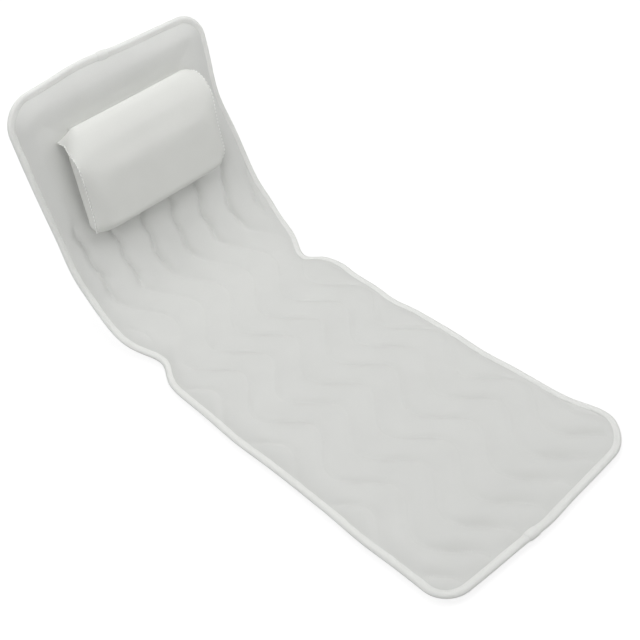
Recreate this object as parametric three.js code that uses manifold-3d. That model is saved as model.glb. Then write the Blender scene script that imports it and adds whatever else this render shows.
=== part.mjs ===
// Full-body bath pillow: a quilted tub mat on suction cups, bent up at its waist notches,
// with a bolster pillow that hangs on the head end by its top seam.
// Millimetres. +Z is up, +Y runs from the foot edge to the head edge, +X is the right side
// seen from the foot. On the mat, u runs across, s along its curve from the waist line
// (towards the head) and h up from the underside, square to the cloth.

import * as THREE from 'three';
import { mergeVertices } from 'three/addons/utils/BufferGeometryUtils.js';
import Module from 'manifold-3d';

const wasm = await Module();
wasm.setup();

// Outline of the mat, laid flat
const MAT_WIDTH = 400;
const FOOT_LENGTH = 692;
const BACK_LENGTH = 526;
const FOOT_RADIUS = 46;
const HEAD_RADIUS = 55;
const FOOT_BULGE = 9;
const HEAD_BULGE = 5;
const BULGE_REACH = 60;
const NOTCH_DEPTH = 25;
const NOTCH_SPREAD = 42;

// The two soft bends of the mat's side view
const WAIST_BEND = 66;
const WAIST_BEND_FROM = -55;
const WAIST_BEND_TO = 250;
const SHOULDER_BEND = 18;
const SHOULDER_BEND_FROM = 100;
const SHOULDER_BEND_TO = 560;

// Fold lines, and how far each may open backwards from the shown pose, in degrees
const LEG_FOLD = -360;
const WAIST_FOLD = 0;
const BACK_FOLD = 125;
const NECK_FOLD = 235;
const WAIST_RECLINE = 12;
const BACK_RECLINE = 30;
const NECK_RECLINE = 25;
const RECLINE_MARGIN = 2;

// Layers of the mat
const CLEARANCE = 0.3;
const BACKING_THICKNESS = 1.2;
const WADDING_THICKNESS = 5.5;
const WADDING_EDGE = 1.8;
const COVER_THICKNESS = 1.4;
const FLAT_EDGE = 17;
const RAMP_WIDTH = 11;
const PUFF_RISE = 18;

// Quilting: wavy stitch lines along the mat, with a puffed channel between each two
const PUFF = 4.5;
const HEAD_PUFF = 4.2;
const STITCH_LINES = 6;
const STITCH_PITCH = 56;
const STITCH_OFFSET = 14.5;
const STITCH_SWING = 26;
const STITCH_SIDE_ROOM = 34;
const SEAT_WAVE = 178;
const BACK_WAVE = 195;
const WAVE_START = -105;
const CHANNEL_STEPS = 3;
const ROW_PITCH = 24;

// Edge binding and its overlap joins
const BINDING_THICKNESS = 1.2;
const BINDING_REACH = 13;
const FOLD_ROUNDING = 0.8;
const CORNER_STEPS = 12;
const EDGE_STEPS = 8;
const JOIN_THICKNESS = 1;
const JOIN_WIDTH = 20;
const FOOT_JOIN_OFFSET = -33;
const HEAD_JOIN_OFFSET = 0;

// Suction cups and the webbing tapes that hold them
const CUP_RADIUS = 20;
const CUP_LIP = 3;
const CUP_DOME = 4.5;
const CUP_HEIGHT = 7.4;
const CUP_SHOULDER_RADIUS = 12.4;
const CUP_SHOULDER_HEIGHT = 5;
const CUP_SIDES = 12;
const NECK_RADIUS = 3;
const BUTTON_RADIUS = 5.5;
const BUTTON_THICKNESS = 1.2;
const TAPE_THICKNESS = 2.6;
const TAPE_WIDTH = 30;
const TAPE_OVERHANG = 26;
const SIDE_CUP_INSET = 80;
const BACK_SIDE_CUP_INSET = 90;
const FOOT_CUP_INSET = 80;
const FOLD_CUP_INSET = 75;
const HEAD_CUP_INSET = 126;

// Head pillow
const PILLOW_WIDTH = 276;
const PILLOW_HEIGHT = 172;
const PILLOW_DEPTH = 64;
const PILLOW_END_SHARPNESS = 8;
const PILLOW_SHIFT = 1;
const PILLOW_RISE = 27;
const PILLOW_STANDOFF = 3;
const PILLOW_CLOTH = 1.5;
const PILLOW_STEPS = 22;
const PILLOW_STATIONS = 14;
const FILL_MARGIN = 16;
const FILL_SHARE = 0.35;
const FILL_END_DROP = 0.5;
const FILL_EDGE_DROP = 0.6;
const FILL_SKIN = 1;
const SEAM_TAPE_GAP = 4;
const SEAM_TAPE_WIDTH = 10;
const SEAM_TAPE_THICKNESS = 1;

// The pillow's side view from its lower back corner to its top seam: share of height, of depth.
// In the middle it bulges above the seam, and at the ends it is drawn in.
const PILLOW_MIDDLE = [
  [0, 0],
  [-0.012, 0.2],
  [0, 0.46],
  [0.05, 0.62],
  [0.22, 0.71],
  [0.41, 0.82],
  [0.55, 0.905],
  [0.655, 0.957],
  [0.75, 0.977],
  [0.835, 0.957],
  [0.92, 0.893],
  [1, 0.795],
  [1.07, 0.68],
  [1.115, 0.56],
  [1.135, 0.43],
  [1.085, 0.3],
  [1, 0],
];
const PILLOW_END = [
  [0, 0],
  [0, 0.18],
  [0.02, 0.4],
  [0.07, 0.52],
  [0.23, 0.56],
  [0.4, 0.64],
  [0.55, 0.74],
  [0.68, 0.84],
  [0.77, 0.88],
  [0.84, 0.88],
  [0.9, 0.82],
  [0.945, 0.7],
  [0.97, 0.56],
  [0.985, 0.4],
  [0.995, 0.22],
  [1, 0.08],
  [1, 0],
];

const LOOKS = {
  cover: { color: 0xf1f1ee, roughness: 0.9 },
  wadding: { color: 0xffffff, roughness: 1 },
  backing: { color: 0xe9e9e6, roughness: 0.95 },
  binding: { color: 0xf6f5f1, roughness: 0.85 },
  tape: { color: 0xefefec, roughness: 0.9 },
  cup: { color: 0xdfe5e6, roughness: 0.25 },
  pillow: { color: 0xf2f2ef, roughness: 0.9 },
};

// Heights above the underside that follow from the layers
const WADDING_BASE = BACKING_THICKNESS + CLEARANCE;
const EDGE_TOP = WADDING_BASE + WADDING_EDGE + CLEARANCE + COVER_THICKNESS;
const VALLEY_TOP = WADDING_BASE + WADDING_THICKNESS + CLEARANCE + COVER_THICKNESS;
const HEAD_TOP = VALLEY_TOP + HEAD_PUFF;
const FOLD_HEIGHT = VALLEY_TOP + Math.max(PUFF, HEAD_PUFF) + CLEARANCE;
const BINDING_INSET = BINDING_THICKNESS + CLEARANCE;
const RAMP_END = FLAT_EDGE + RAMP_WIDTH;
const PANEL_FOOT = FOOT_LENGTH - BINDING_INSET;
const PANEL_HEAD = BACK_LENGTH - BINDING_INSET;
const CUP_STAND = CUP_HEIGHT + CLEARANCE + TAPE_THICKNESS + CLEARANCE;
const PILLOW_BOTTOM = NECK_FOLD + PILLOW_RISE;

const radians = THREE.MathUtils.degToRad;
const between = (x) => THREE.MathUtils.clamp(x, 0, 1);
const smooth = (x) => THREE.MathUtils.smoothstep(x, 0, 1);

// Side view of the mat

function lean(s) {
  const waist = smooth((s - WAIST_BEND_FROM) / (WAIST_BEND_TO - WAIST_BEND_FROM));
  const shoulder = smooth((s - SHOULDER_BEND_FROM) / (SHOULDER_BEND_TO - SHOULDER_BEND_FROM));
  return radians(WAIST_BEND * waist + SHOULDER_BEND * shoulder);
}

// The underside's point at s, by adding up short steps along the bend from where the seat is flat.
const CURVE_STEP = 1;
function underside(s) {
  if (s <= WAIST_BEND_FROM) {
    return { y: s, z: CUP_STAND };
  }
  const steps = Math.ceil((s - WAIST_BEND_FROM) / CURVE_STEP);
  const step = (s - WAIST_BEND_FROM) / steps;
  let y = WAIST_BEND_FROM;
  let z = CUP_STAND;
  for (let i = 0; i < steps; i += 1) {
    const angle = lean(WAIST_BEND_FROM + (i + 0.5) * step);
    y += step * Math.cos(angle);
    z += step * Math.sin(angle);
  }
  return { y, z };
}

// The foot and head edges bow out a little in the middle.
function bowed(u, s) {
  const middle = 1 - (2 * u / MAT_WIDTH) ** 2;
  const foot = smooth((BULGE_REACH - FOOT_LENGTH - s) / BULGE_REACH);
  const head = smooth((s - BACK_LENGTH + BULGE_REACH) / BULGE_REACH);
  return s + middle * (HEAD_BULGE * head - FOOT_BULGE * foot);
}

function place(u, s, h) {
  const along = bowed(u, s);
  const angle = lean(along);
  const { y, z } = underside(along);
  return new THREE.Vector3(u, y - h * Math.sin(angle), z + h * Math.cos(angle));
}

// Outline

function sideHalfWidth(s, inset) {
  return MAT_WIDTH / 2 - inset - NOTCH_DEPTH * Math.exp(-((s / NOTCH_SPREAD) ** 2));
}

function nearestEnd(s, inset) {
  return s > 0
    ? { distance: BACK_LENGTH - inset - s, radius: HEAD_RADIUS - inset }
    : { distance: s + FOOT_LENGTH - inset, radius: FOOT_RADIUS - inset };
}

function halfWidth(s, inset) {
  const { distance, radius } = nearestEnd(s, inset);
  const corner = Math.max(radius - distance, 0);
  return sideHalfWidth(s, inset) - radius + Math.sqrt(radius ** 2 - corner ** 2);
}

function edgeDistance(u, s) {
  const { distance, radius } = nearestEnd(s, BINDING_INSET);
  const side = sideHalfWidth(s, BINDING_INSET) - Math.abs(u);
  if (distance < radius && side < radius) {
    return radius - Math.hypot(radius - distance, radius - side);
  }
  return Math.min(distance, side);
}

// A closed skin over rows of points: each row has a top and a bottom chain, and each chain's points
// carry a key that grows along it. Chains of different lengths are zipped together by their keys.
function zip(a, b) {
  const triangles = [];
  let i = 0;
  let j = 0;
  while (i < a.length - 1 || j < b.length - 1) {
    const alongA = j === b.length - 1 || (i < a.length - 1 && a[i + 1].key <= b[j + 1].key);
    if (alongA) {
      triangles.push(a[i].index, a[i + 1].index, b[j].index);
      i += 1;
    } else {
      triangles.push(a[i].index, b[j + 1].index, b[j].index);
      j += 1;
    }
  }
  return triangles;
}

function skin(rows) {
  const positions = [];
  const indexed = (chain) => chain.map(({ key, point }) => {
    positions.push(point.x, point.y, point.z);
    return { key, index: positions.length / 3 - 1 };
  });
  const top = rows.map((row) => indexed(row.top));
  const bottom = rows.map((row) => indexed(row.bottom));
  const edge = (chains, end) => chains.map((chain, key) => ({ key, index: chain.at(end).index }));
  const triangles = [
    ...zip(bottom[0], top[0]),
    ...zip(top.at(-1), bottom.at(-1)),
    ...zip(edge(bottom, -1), edge(top, -1)),
    ...zip(edge(top, 0), edge(bottom, 0)),
  ];
  for (let row = 1; row < rows.length; row += 1) {
    triangles.push(...zip(top[row - 1], top[row]));
    triangles.push(...zip(bottom[row], bottom[row - 1]));
  }
  const geometry = new THREE.BufferGeometry();
  geometry.setAttribute('position', new THREE.Float32BufferAttribute(positions, 3));
  geometry.setIndex(triangles);
  return facingOut(geometry);
}

function facingOut(geometry) {
  const position = geometry.getAttribute('position');
  const index = geometry.getIndex();
  const [a, b, c] = [new THREE.Vector3(), new THREE.Vector3(), new THREE.Vector3()];
  let volume = 0;
  for (let i = 0; i < index.count; i += 3) {
    a.fromBufferAttribute(position, index.getX(i));
    b.fromBufferAttribute(position, index.getX(i + 1));
    c.fromBufferAttribute(position, index.getX(i + 2));
    volume += a.dot(b.cross(c));
  }
  if (volume < 0) {
    geometry.setIndex(Array.from(index.array).reverse());
  }
  geometry.computeVertexNormals();
  return geometry;
}

const chain = (points) => points.map((point, key) => ({ key, point }));

// Cutting one closed mesh out of another

function toSolid(geometry) {
  const bare = geometry.clone();
  bare.deleteAttribute('normal');
  bare.deleteAttribute('uv');
  const merged = mergeVertices(bare);
  return new wasm.Manifold(new wasm.Mesh({
    numProp: 3,
    vertProperties: new Float32Array(merged.getAttribute('position').array),
    triVerts: new Uint32Array(merged.getIndex().array),
  }));
}

function cut(geometry, tools) {
  const solid = tools.reduce((left, tool) => left.subtract(toSolid(tool)), toSolid(geometry));
  const { vertProperties, triVerts } = solid.getMesh();
  const result = new THREE.BufferGeometry();
  result.setAttribute('position', new THREE.Float32BufferAttribute(vertProperties, 3));
  result.setIndex(Array.from(triVerts));
  result.computeVertexNormals();
  return result;
}

// Sections of the mat. A section's end at a fold is a flat face that leans away from the fold's
// axis, so that the neighbours close on each other only when the mat is opened out.

const FOLDS = {
  leg: { at: LEG_FOLD, bevel: 0 },
  waist: { at: WAIST_FOLD, bevel: radians((WAIST_RECLINE + RECLINE_MARGIN) / 2) },
  back: { at: BACK_FOLD, bevel: radians((BACK_RECLINE + RECLINE_MARGIN) / 2) },
  neck: { at: NECK_FOLD, bevel: radians((NECK_RECLINE + RECLINE_MARGIN) / 2) },
};

const SECTIONS = [
  {
    name: 'leg',
    after: null,
    before: FOLDS.leg,
    cupRows: [FOOT_CUP_INSET - FOOT_LENGTH, LEG_FOLD - FOLD_CUP_INSET],
    cups: 3,
  },
  {
    name: 'seat',
    after: FOLDS.leg,
    before: FOLDS.waist,
    cupRows: [LEG_FOLD + FOLD_CUP_INSET, WAIST_FOLD - FOLD_CUP_INSET],
    cups: 3,
  },
  {
    name: 'lower_back',
    after: FOLDS.waist,
    before: FOLDS.back,
    cupRows: [(WAIST_FOLD + BACK_FOLD) / 2],
    cups: 2,
  },
  {
    name: 'upper_back',
    after: FOLDS.back,
    before: FOLDS.neck,
    cupRows: [(BACK_FOLD + NECK_FOLD) / 2],
    cups: 2,
  },
  {
    name: 'head',
    after: FOLDS.neck,
    before: null,
    cupRows: [BACK_LENGTH - HEAD_CUP_INSET],
    cups: 2,
  },
];

const foldFace = (fold, way) => (h) => (
  fold.at + way * (CLEARANCE + (FOLD_HEIGHT - h) * Math.tan(fold.bevel))
);

function spaced(from, to, pitch) {
  const count = Math.max(Math.ceil(Math.abs(to - from) / pitch), 1);
  return Array.from({ length: count + 1 }, (_, i) => from + (to - from) * i / count);
}

// Distances from a foot or head edge at which a panel has a row: the flat edge, the ramp, the corner.
function edgeRows(radius) {
  const steps = [0, FLAT_EDGE / 2, FLAT_EDGE, RAMP_END, RAMP_END + PUFF_RISE, radius];
  return [...new Set(steps)].sort((a, b) => a - b);
}

// Rows of a section: the nominal s, and the s of the row's points by their height.
function sectionRows({ after, before }) {
  const start = after ? [after.at] : edgeRows(FOOT_RADIUS).map((step) => step - PANEL_FOOT);
  const end = before ? [before.at] : edgeRows(HEAD_RADIUS).map((step) => PANEL_HEAD - step).reverse();
  const middle = spaced(start.at(-1), end[0], ROW_PITCH).slice(1, -1);
  const stations = [...start, ...middle, ...end];
  return stations.map((s) => {
    if (after && s === after.at) {
      return { s, at: foldFace(after, 1) };
    }
    if (before && s === before.at) {
      return { s, at: foldFace(before, -1) };
    }
    return { s, at: () => s };
  });
}

// Heights

const ramp = (distance) => between((distance - FLAT_EDGE) / RAMP_WIDTH);

function waddingTop(u, s) {
  const rise = WADDING_THICKNESS - WADDING_EDGE;
  return WADDING_BASE + WADDING_EDGE + rise * ramp(edgeDistance(u, s));
}

const coverBottom = (u, s) => waddingTop(u, s) + CLEARANCE;
const puffFade = (u, s) => between((edgeDistance(u, s) - RAMP_END) / PUFF_RISE);

function wave(s) {
  const length = s < WAVE_START ? SEAT_WAVE : BACK_WAVE;
  return -STITCH_SWING * Math.sin(2 * Math.PI * (s - WAVE_START) / length);
}

// Columns

const panelEdge = (s) => halfWidth(s, BINDING_INSET);

// A panel's side columns, and the guides that bound its channels, squeezed in where it narrows.
function sideColumns(s) {
  const edge = panelEdge(s);
  return [edge, edge - FLAT_EDGE];
}

function stitchGuides(s) {
  const inner = panelEdge(s) - RAMP_END;
  const full = MAT_WIDTH / 2 - BINDING_INSET - RAMP_END;
  const lines = Array.from({ length: STITCH_LINES }, (_, k) => {
    const line = STITCH_OFFSET + (k - (STITCH_LINES - 1) / 2) * STITCH_PITCH;
    const room = between((full - Math.abs(line)) / STITCH_SIDE_ROOM);
    return (line + wave(s) * room) * inner / full;
  });
  return [-inner, ...lines, inner];
}

function plainColumns(s) {
  const side = [...sideColumns(s), panelEdge(s) - RAMP_END];
  return [...side.map((u) => -u), ...side.reverse()].map((u) => ({ u, puff: 0 }));
}

// Columns over the quilting: puff is 0 on a stitch line and full across the middle of a channel.
function quiltColumns(s) {
  const guides = stitchGuides(s);
  const side = sideColumns(s);
  const columns = side.map((u) => ({ u: -u, puff: 0 }));
  for (let channel = 1; channel < guides.length; channel += 1) {
    const [left, right] = [guides[channel - 1], guides[channel]];
    const fullness = Math.min((right - left) / STITCH_PITCH, 1);
    for (let step = 0; step < CHANNEL_STEPS; step += 1) {
      const u = left + (right - left) * step / CHANNEL_STEPS;
      columns.push({ u, puff: step === 0 ? 0 : fullness });
    }
  }
  columns.push({ u: guides.at(-1), puff: 0 });
  columns.push(...side.reverse().map((u) => ({ u, puff: 0 })));
  return columns;
}

// The head end isn't quilted: it is plump all over.
function smoothColumns(s) {
  const [edge, flat] = sideColumns(s);
  const inner = edge - RAMP_END;
  const full = inner - PUFF_RISE;
  const side = [[edge, 0], [flat, 0], [inner, 0], [full, 1]].map(([u, puff]) => ({ u, puff }));
  return [...side.map(({ u, puff }) => ({ u: -u, puff })), ...side.reverse()];
}

// One layer of a section between two surfaces, each a list of columns and a height on them.
function layer(section, top, bottom) {
  const rows = sectionRows(section);
  return skin(rows.map(({ s, at }, i) => {
    const surface = (columns, height) => columns(s).map(({ u, puff }) => {
      const h = height(u, s, puff);
      return { key: u / panelEdge(s), point: place(u, at(h), h) };
    });
    const atEnd = i === 0 || i === rows.length - 1;
    return {
      top: surface(top.columns, top.height),
      bottom: surface(atEnd ? top.columns : bottom.columns, bottom.height),
    };
  }));
}

function cover(section) {
  const head = section.name === 'head';
  const rise = head ? HEAD_PUFF : PUFF;
  return layer(
    section,
    {
      columns: head ? smoothColumns : quiltColumns,
      height: (u, s, puff) => coverBottom(u, s) + COVER_THICKNESS + rise * puff * puffFade(u, s),
    },
    { columns: plainColumns, height: coverBottom },
  );
}

function wadding(section) {
  return layer(
    section,
    { columns: plainColumns, height: waddingTop },
    { columns: plainColumns, height: () => WADDING_BASE },
  );
}

function backing(section) {
  const columns = (s) => [-panelEdge(s), panelEdge(s)].map((u) => ({ u, puff: 0 }));
  return layer(
    section,
    { columns, height: () => BACKING_THICKNESS },
    { columns, height: () => 0 },
  );
}

// Edge binding: a tape folded round the mat's edge. A stop is a point of the outline with the
// direction into the mat, and its s by height.

function wrapRow({ u, s, inward, at }, wrap) {
  const { top, bottom, wall, thickness, reach } = wrap;
  const outside = wall - thickness;
  const round = FOLD_ROUNDING * thickness;
  const outer = [
    [reach, top + thickness],
    [outside + round, top + thickness],
    [outside, top + thickness - round],
    [outside, bottom - thickness + round],
    [outside + round, bottom - thickness],
    [reach, bottom - thickness],
  ];
  const inner = [
    [reach, top],
    [wall, top],
    [wall, top - thickness],
    [wall, bottom + thickness],
    [wall, bottom],
    [reach, bottom],
  ];
  const points = (profile) => profile.map(([depth, h]) => (
    place(u + inward.x * depth, (at ? at(h) : s) + inward.y * depth, h)
  ));
  return { top: chain(points(outer)), bottom: chain(points(inner)) };
}

const BINDING = {
  top: EDGE_TOP + CLEARANCE,
  bottom: -CLEARANCE,
  wall: BINDING_THICKNESS,
  thickness: BINDING_THICKNESS,
  reach: BINDING_REACH,
};

const JOIN = {
  top: BINDING.top + BINDING_THICKNESS + CLEARANCE,
  bottom: BINDING.bottom - BINDING_THICKNESS - CLEARANCE,
  wall: -CLEARANCE,
  thickness: JOIN_THICKNESS,
  reach: BINDING_REACH,
};

const wrapped = (stops, wrap) => skin(stops.map((stop) => wrapRow(stop, wrap)));

// Along one side of the mat, from a fold or a given s to the next.
function sideStops(side, after, before) {
  return spaced(after.at, before.at, ROW_PITCH).map((s, i, all) => {
    const slope = (sideHalfWidth(s + 1, 0) - sideHalfWidth(s - 1, 0)) / 2;
    const stop = { u: side * sideHalfWidth(s, 0), s };
    if (i === 0) {
      return { ...stop, inward: new THREE.Vector2(-side, 0), at: foldFace(after, 1) };
    }
    if (i === all.length - 1) {
      return { ...stop, inward: new THREE.Vector2(-side, 0), at: foldFace(before, -1) };
    }
    return { ...stop, inward: new THREE.Vector2(-side, slope).normalize() };
  });
}

// Round the foot (end -1) or the head (end 1), from the left fold line to the right one.
function endStops(end, fold, length, radius) {
  const corner = { u: MAT_WIDTH / 2 - radius, s: length - radius };
  const straight = spaced(Math.abs(fold.at), corner.s, ROW_PITCH).slice(0, -1);
  const left = straight.map((s, i) => ({
    u: -MAT_WIDTH / 2,
    s: end * s,
    inward: new THREE.Vector2(1, 0),
    at: i === 0 ? foldFace(fold, end) : undefined,
  }));
  for (let step = 0; step <= CORNER_STEPS; step += 1) {
    const angle = step / CORNER_STEPS * Math.PI / 2;
    left.push({
      u: -corner.u - radius * Math.cos(angle),
      s: end * (corner.s + radius * Math.sin(angle)),
      inward: new THREE.Vector2(Math.cos(angle), -end * Math.sin(angle)),
    });
  }
  const edge = spaced(-corner.u, corner.u, 2 * corner.u / EDGE_STEPS).slice(1, -1).map((u) => ({
    u,
    s: end * length,
    inward: new THREE.Vector2(0, -end),
  }));
  const mirrored = left.map((stop) => ({
    ...stop,
    u: -stop.u,
    inward: new THREE.Vector2(-stop.inward.x, stop.inward.y),
  }));
  return [...left, ...edge, ...mirrored.reverse()];
}

function joinStops(end, length, offset) {
  return spaced(offset - JOIN_WIDTH / 2, offset + JOIN_WIDTH / 2, JOIN_WIDTH / 2).map((u) => ({
    u,
    s: end * length,
    inward: new THREE.Vector2(0, -end),
  }));
}

// Suction cups, each with a button that sits in a pocket of its tape

function turned(profile) {
  const points = profile.map(([r, z]) => new THREE.Vector2(r, z));
  const geometry = new THREE.LatheGeometry(points, CUP_SIDES);
  geometry.rotateX(Math.PI / 2);
  return facingOut(geometry);
}

const NECK_TOP = CUP_HEIGHT + CLEARANCE + TAPE_THICKNESS - CLEARANCE - BUTTON_THICKNESS;

function suctionCup() {
  return turned([
    [0, CUP_DOME],
    [CUP_RADIUS - CUP_LIP, 0],
    [CUP_RADIUS, 0],
    [CUP_SHOULDER_RADIUS, CUP_SHOULDER_HEIGHT],
    [NECK_RADIUS, CUP_HEIGHT],
    [NECK_RADIUS, NECK_TOP],
    [BUTTON_RADIUS, NECK_TOP],
    [BUTTON_RADIUS, NECK_TOP + BUTTON_THICKNESS],
    [0, NECK_TOP + BUTTON_THICKNESS],
  ]);
}

// The room that a cup's neck and button take in the tape, open at both of its faces.
function cupSocket() {
  const above = NECK_TOP + BUTTON_THICKNESS + TAPE_THICKNESS;
  return turned([
    [0, CUP_HEIGHT - CLEARANCE],
    [NECK_RADIUS + CLEARANCE, CUP_HEIGHT - CLEARANCE],
    [NECK_RADIUS + CLEARANCE, NECK_TOP - CLEARANCE],
    [BUTTON_RADIUS + CLEARANCE, NECK_TOP - CLEARANCE],
    [BUTTON_RADIUS + CLEARANCE, above],
    [0, above],
  ]);
}

function cupTape(places) {
  const length = 2 * Math.max(...places) + 2 * TAPE_OVERHANG;
  const tape = new THREE.BoxGeometry(length, TAPE_WIDTH, TAPE_THICKNESS);
  tape.translate(0, 0, CUP_HEIGHT + CLEARANCE + TAPE_THICKNESS / 2);
  return cut(tape, places.map((u) => cupSocket().translate(u, 0, 0)));
}

// Head pillow. Its points are given by u across, and by height and depth along its side view.

const pillowEnd = PILLOW_WIDTH / 2;

function pillowPoint(u, rise, depth) {
  const standoff = CLEARANCE + PILLOW_STANDOFF * (1 - rise / PILLOW_HEIGHT);
  return place(u + PILLOW_SHIFT, PILLOW_BOTTOM + rise, HEAD_TOP + standoff + depth);
}

// The pillow's side view at u: its middle one, turning into its end one.
function pillowOutline(u) {
  const toEnd = Math.abs(u / pillowEnd) ** PILLOW_END_SHARPNESS;
  const size = new THREE.Vector3(PILLOW_HEIGHT, PILLOW_DEPTH, 0);
  const points = PILLOW_MIDDLE.map((middle, i) => (
    new THREE.Vector3(...middle, 0).lerp(new THREE.Vector3(...PILLOW_END[i], 0), toEnd).multiply(size)
  ));
  const curve = new THREE.CatmullRomCurve3(points, false, 'centripetal');
  return curve.getSpacedPoints(PILLOW_STEPS).map(({ x, y }) => new THREE.Vector2(x, y));
}

// The same, drawn in by an inset, without crossing the pillow's back.
function pillowSection(u, inset) {
  const outline = pillowOutline(u);
  return outline.map((point, i) => {
    const before = outline[Math.max(i - 1, 0)];
    const after = outline[Math.min(i + 1, outline.length - 1)];
    const along = after.clone().sub(before).normalize();
    const moved = new THREE.Vector2(along.y, -along.x).multiplyScalar(inset).add(point);
    return i === 0 || i === outline.length - 1 ? moved.setY(0) : moved;
  });
}

const pillowChain = (u, points) => chain(points.map((p) => pillowPoint(u, p.x, p.y)));

function pillowCover() {
  const angles = spaced(-Math.PI / 2, Math.PI / 2, Math.PI / PILLOW_STATIONS);
  const stations = angles.map((angle) => pillowEnd * Math.sin(angle));
  return skin(stations.map((u) => ({
    top: pillowChain(u, pillowSection(u, 0)),
    bottom: pillowChain(u, pillowSection(u, PILLOW_CLOTH)),
  })));
}

// An end gusset closes the cover's end down to the mat.
function pillowGusset(side) {
  const front = pillowSection(side * pillowEnd, PILLOW_CLOTH + CLEARANCE);
  const [low, high] = [front[0], front.at(-1)];
  const back = front.map((_, i) => low.clone().lerp(high, i / PILLOW_STEPS));
  return skin([pillowEnd - PILLOW_CLOTH, pillowEnd].map((u) => ({
    top: pillowChain(side * u, front.slice(1, -1)),
    bottom: pillowChain(side * u, back.slice(1, -1)),
  })));
}

function pillowBack() {
  const inset = PILLOW_CLOTH + 2 * CLEARANCE;
  const end = pillowEnd - PILLOW_CLOTH - CLEARANCE;
  const rises = spaced(inset, PILLOW_HEIGHT - inset, ROW_PITCH);
  return skin([-end, end].map((u) => ({
    top: pillowChain(u, rises.map((rise) => new THREE.Vector2(rise, PILLOW_CLOTH))),
    bottom: pillowChain(u, rises.map((rise) => new THREE.Vector2(rise, 0))),
  })));
}

// Loose fibre lying on the back panel, below the cover.
function pillowFill() {
  const end = pillowEnd - FILL_MARGIN;
  const base = PILLOW_CLOTH + CLEARANCE;
  const rises = spaced(FILL_MARGIN, PILLOW_HEIGHT - FILL_MARGIN, ROW_PITCH);
  return skin(spaced(-end, end, ROW_PITCH).map((u) => {
    const crown = FILL_SHARE * PILLOW_DEPTH * (1 - FILL_END_DROP * (u / end) ** 4);
    const bulge = (rise) => {
      const middle = 2 * rise / PILLOW_HEIGHT - 1;
      return base + FILL_SKIN + crown * (1 - FILL_EDGE_DROP * middle ** 4);
    };
    return {
      top: pillowChain(u, rises.map((rise) => new THREE.Vector2(rise, bulge(rise)))),
      bottom: pillowChain(u, rises.map((rise) => new THREE.Vector2(rise, base))),
    };
  }));
}

// The strip above the pillow's top seam that is sewn flat onto the head end.
function seamTape() {
  const from = PILLOW_BOTTOM + PILLOW_HEIGHT + SEAM_TAPE_GAP;
  const height = HEAD_TOP + CLEARANCE;
  const ends = [PILLOW_SHIFT - pillowEnd, PILLOW_SHIFT + pillowEnd];
  const points = (s, h) => chain(ends.map((u) => place(u, s, h)));
  return skin([from, from + SEAM_TAPE_WIDTH].map((s) => ({
    top: points(s, height + SEAM_TAPE_THICKNESS),
    bottom: points(s, height),
  })));
}

// Assembly

const mat = new THREE.Group();

function add(name, geometry, look, parent = mat) {
  const mesh = new THREE.Mesh(geometry, new THREE.MeshStandardMaterial(look));
  mesh.name = name;
  parent.add(mesh);
  return mesh;
}

function addCupRow(section, s, row) {
  const group = new THREE.Group();
  group.position.copy(place(0, s, -CUP_STAND));
  group.rotation.x = lean(s);
  mat.add(group);
  const spread = MAT_WIDTH / 2 - (section.cups === 3 ? SIDE_CUP_INSET : BACK_SIDE_CUP_INSET);
  const places = spaced(-spread, spread, 2 * spread / (section.cups - 1));
  add(`${section.name}_cup_tape_${row + 1}`, cupTape(places), LOOKS.tape, group);
  places.forEach((u, i) => {
    const name = `${section.name}_suction_cup_${row * section.cups + i + 1}`;
    add(name, suctionCup(), LOOKS.cup, group).position.x = u;
  });
}

for (const section of SECTIONS) {
  add(`${section.name}_cover`, cover(section), LOOKS.cover);
  add(`${section.name}_wadding`, wadding(section), LOOKS.wadding);
  add(`${section.name}_backing`, backing(section), LOOKS.backing);
  section.cupRows.forEach((s, row) => addCupRow(section, s, row));
  if (section.after && section.before) {
    for (const [side, word] of [[-1, 'left'], [1, 'right']]) {
      const stops = sideStops(side, section.after, section.before);
      add(`${section.name}_binding_${word}`, wrapped(stops, BINDING), LOOKS.binding);
    }
  }
}

const footStops = endStops(-1, FOLDS.leg, FOOT_LENGTH, FOOT_RADIUS);
const headStops = endStops(1, FOLDS.neck, BACK_LENGTH, HEAD_RADIUS);
add('leg_binding', wrapped(footStops, BINDING), LOOKS.binding);
add('head_binding', wrapped(headStops, BINDING), LOOKS.binding);
const footJoin = joinStops(-1, FOOT_LENGTH, FOOT_JOIN_OFFSET);
const headJoin = joinStops(1, BACK_LENGTH, HEAD_JOIN_OFFSET);
add('foot_binding_join', wrapped(footJoin, JOIN), LOOKS.binding);
add('head_binding_join', wrapped(headJoin, JOIN), LOOKS.binding);

add('pillow_cover', pillowCover(), LOOKS.pillow);
add('pillow_gusset_left', pillowGusset(-1), LOOKS.pillow);
add('pillow_gusset_right', pillowGusset(1), LOOKS.pillow);
add('pillow_back', pillowBack(), LOOKS.pillow);
add('pillow_fill', pillowFill(), LOOKS.wadding);
add('pillow_seam_tape', seamTape(), LOOKS.tape);

// The origin is on the floor under the middle of the part's box.
const box = new THREE.Box3().setFromObject(mat);
mat.position.y = -(box.min.y + box.max.y) / 2;

const part = new THREE.Group();
part.add(mat);

export default part;
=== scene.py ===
"""Bath pillow: quilted cloth, binding, pillow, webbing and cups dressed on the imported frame.

Shapes are worked out in millimetres on the mat: u runs across, s along its curve from the waist line
towards the head, and h up from the underside, square to the cloth. place() turns them into the shared
frame's metres.
"""

import math

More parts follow.
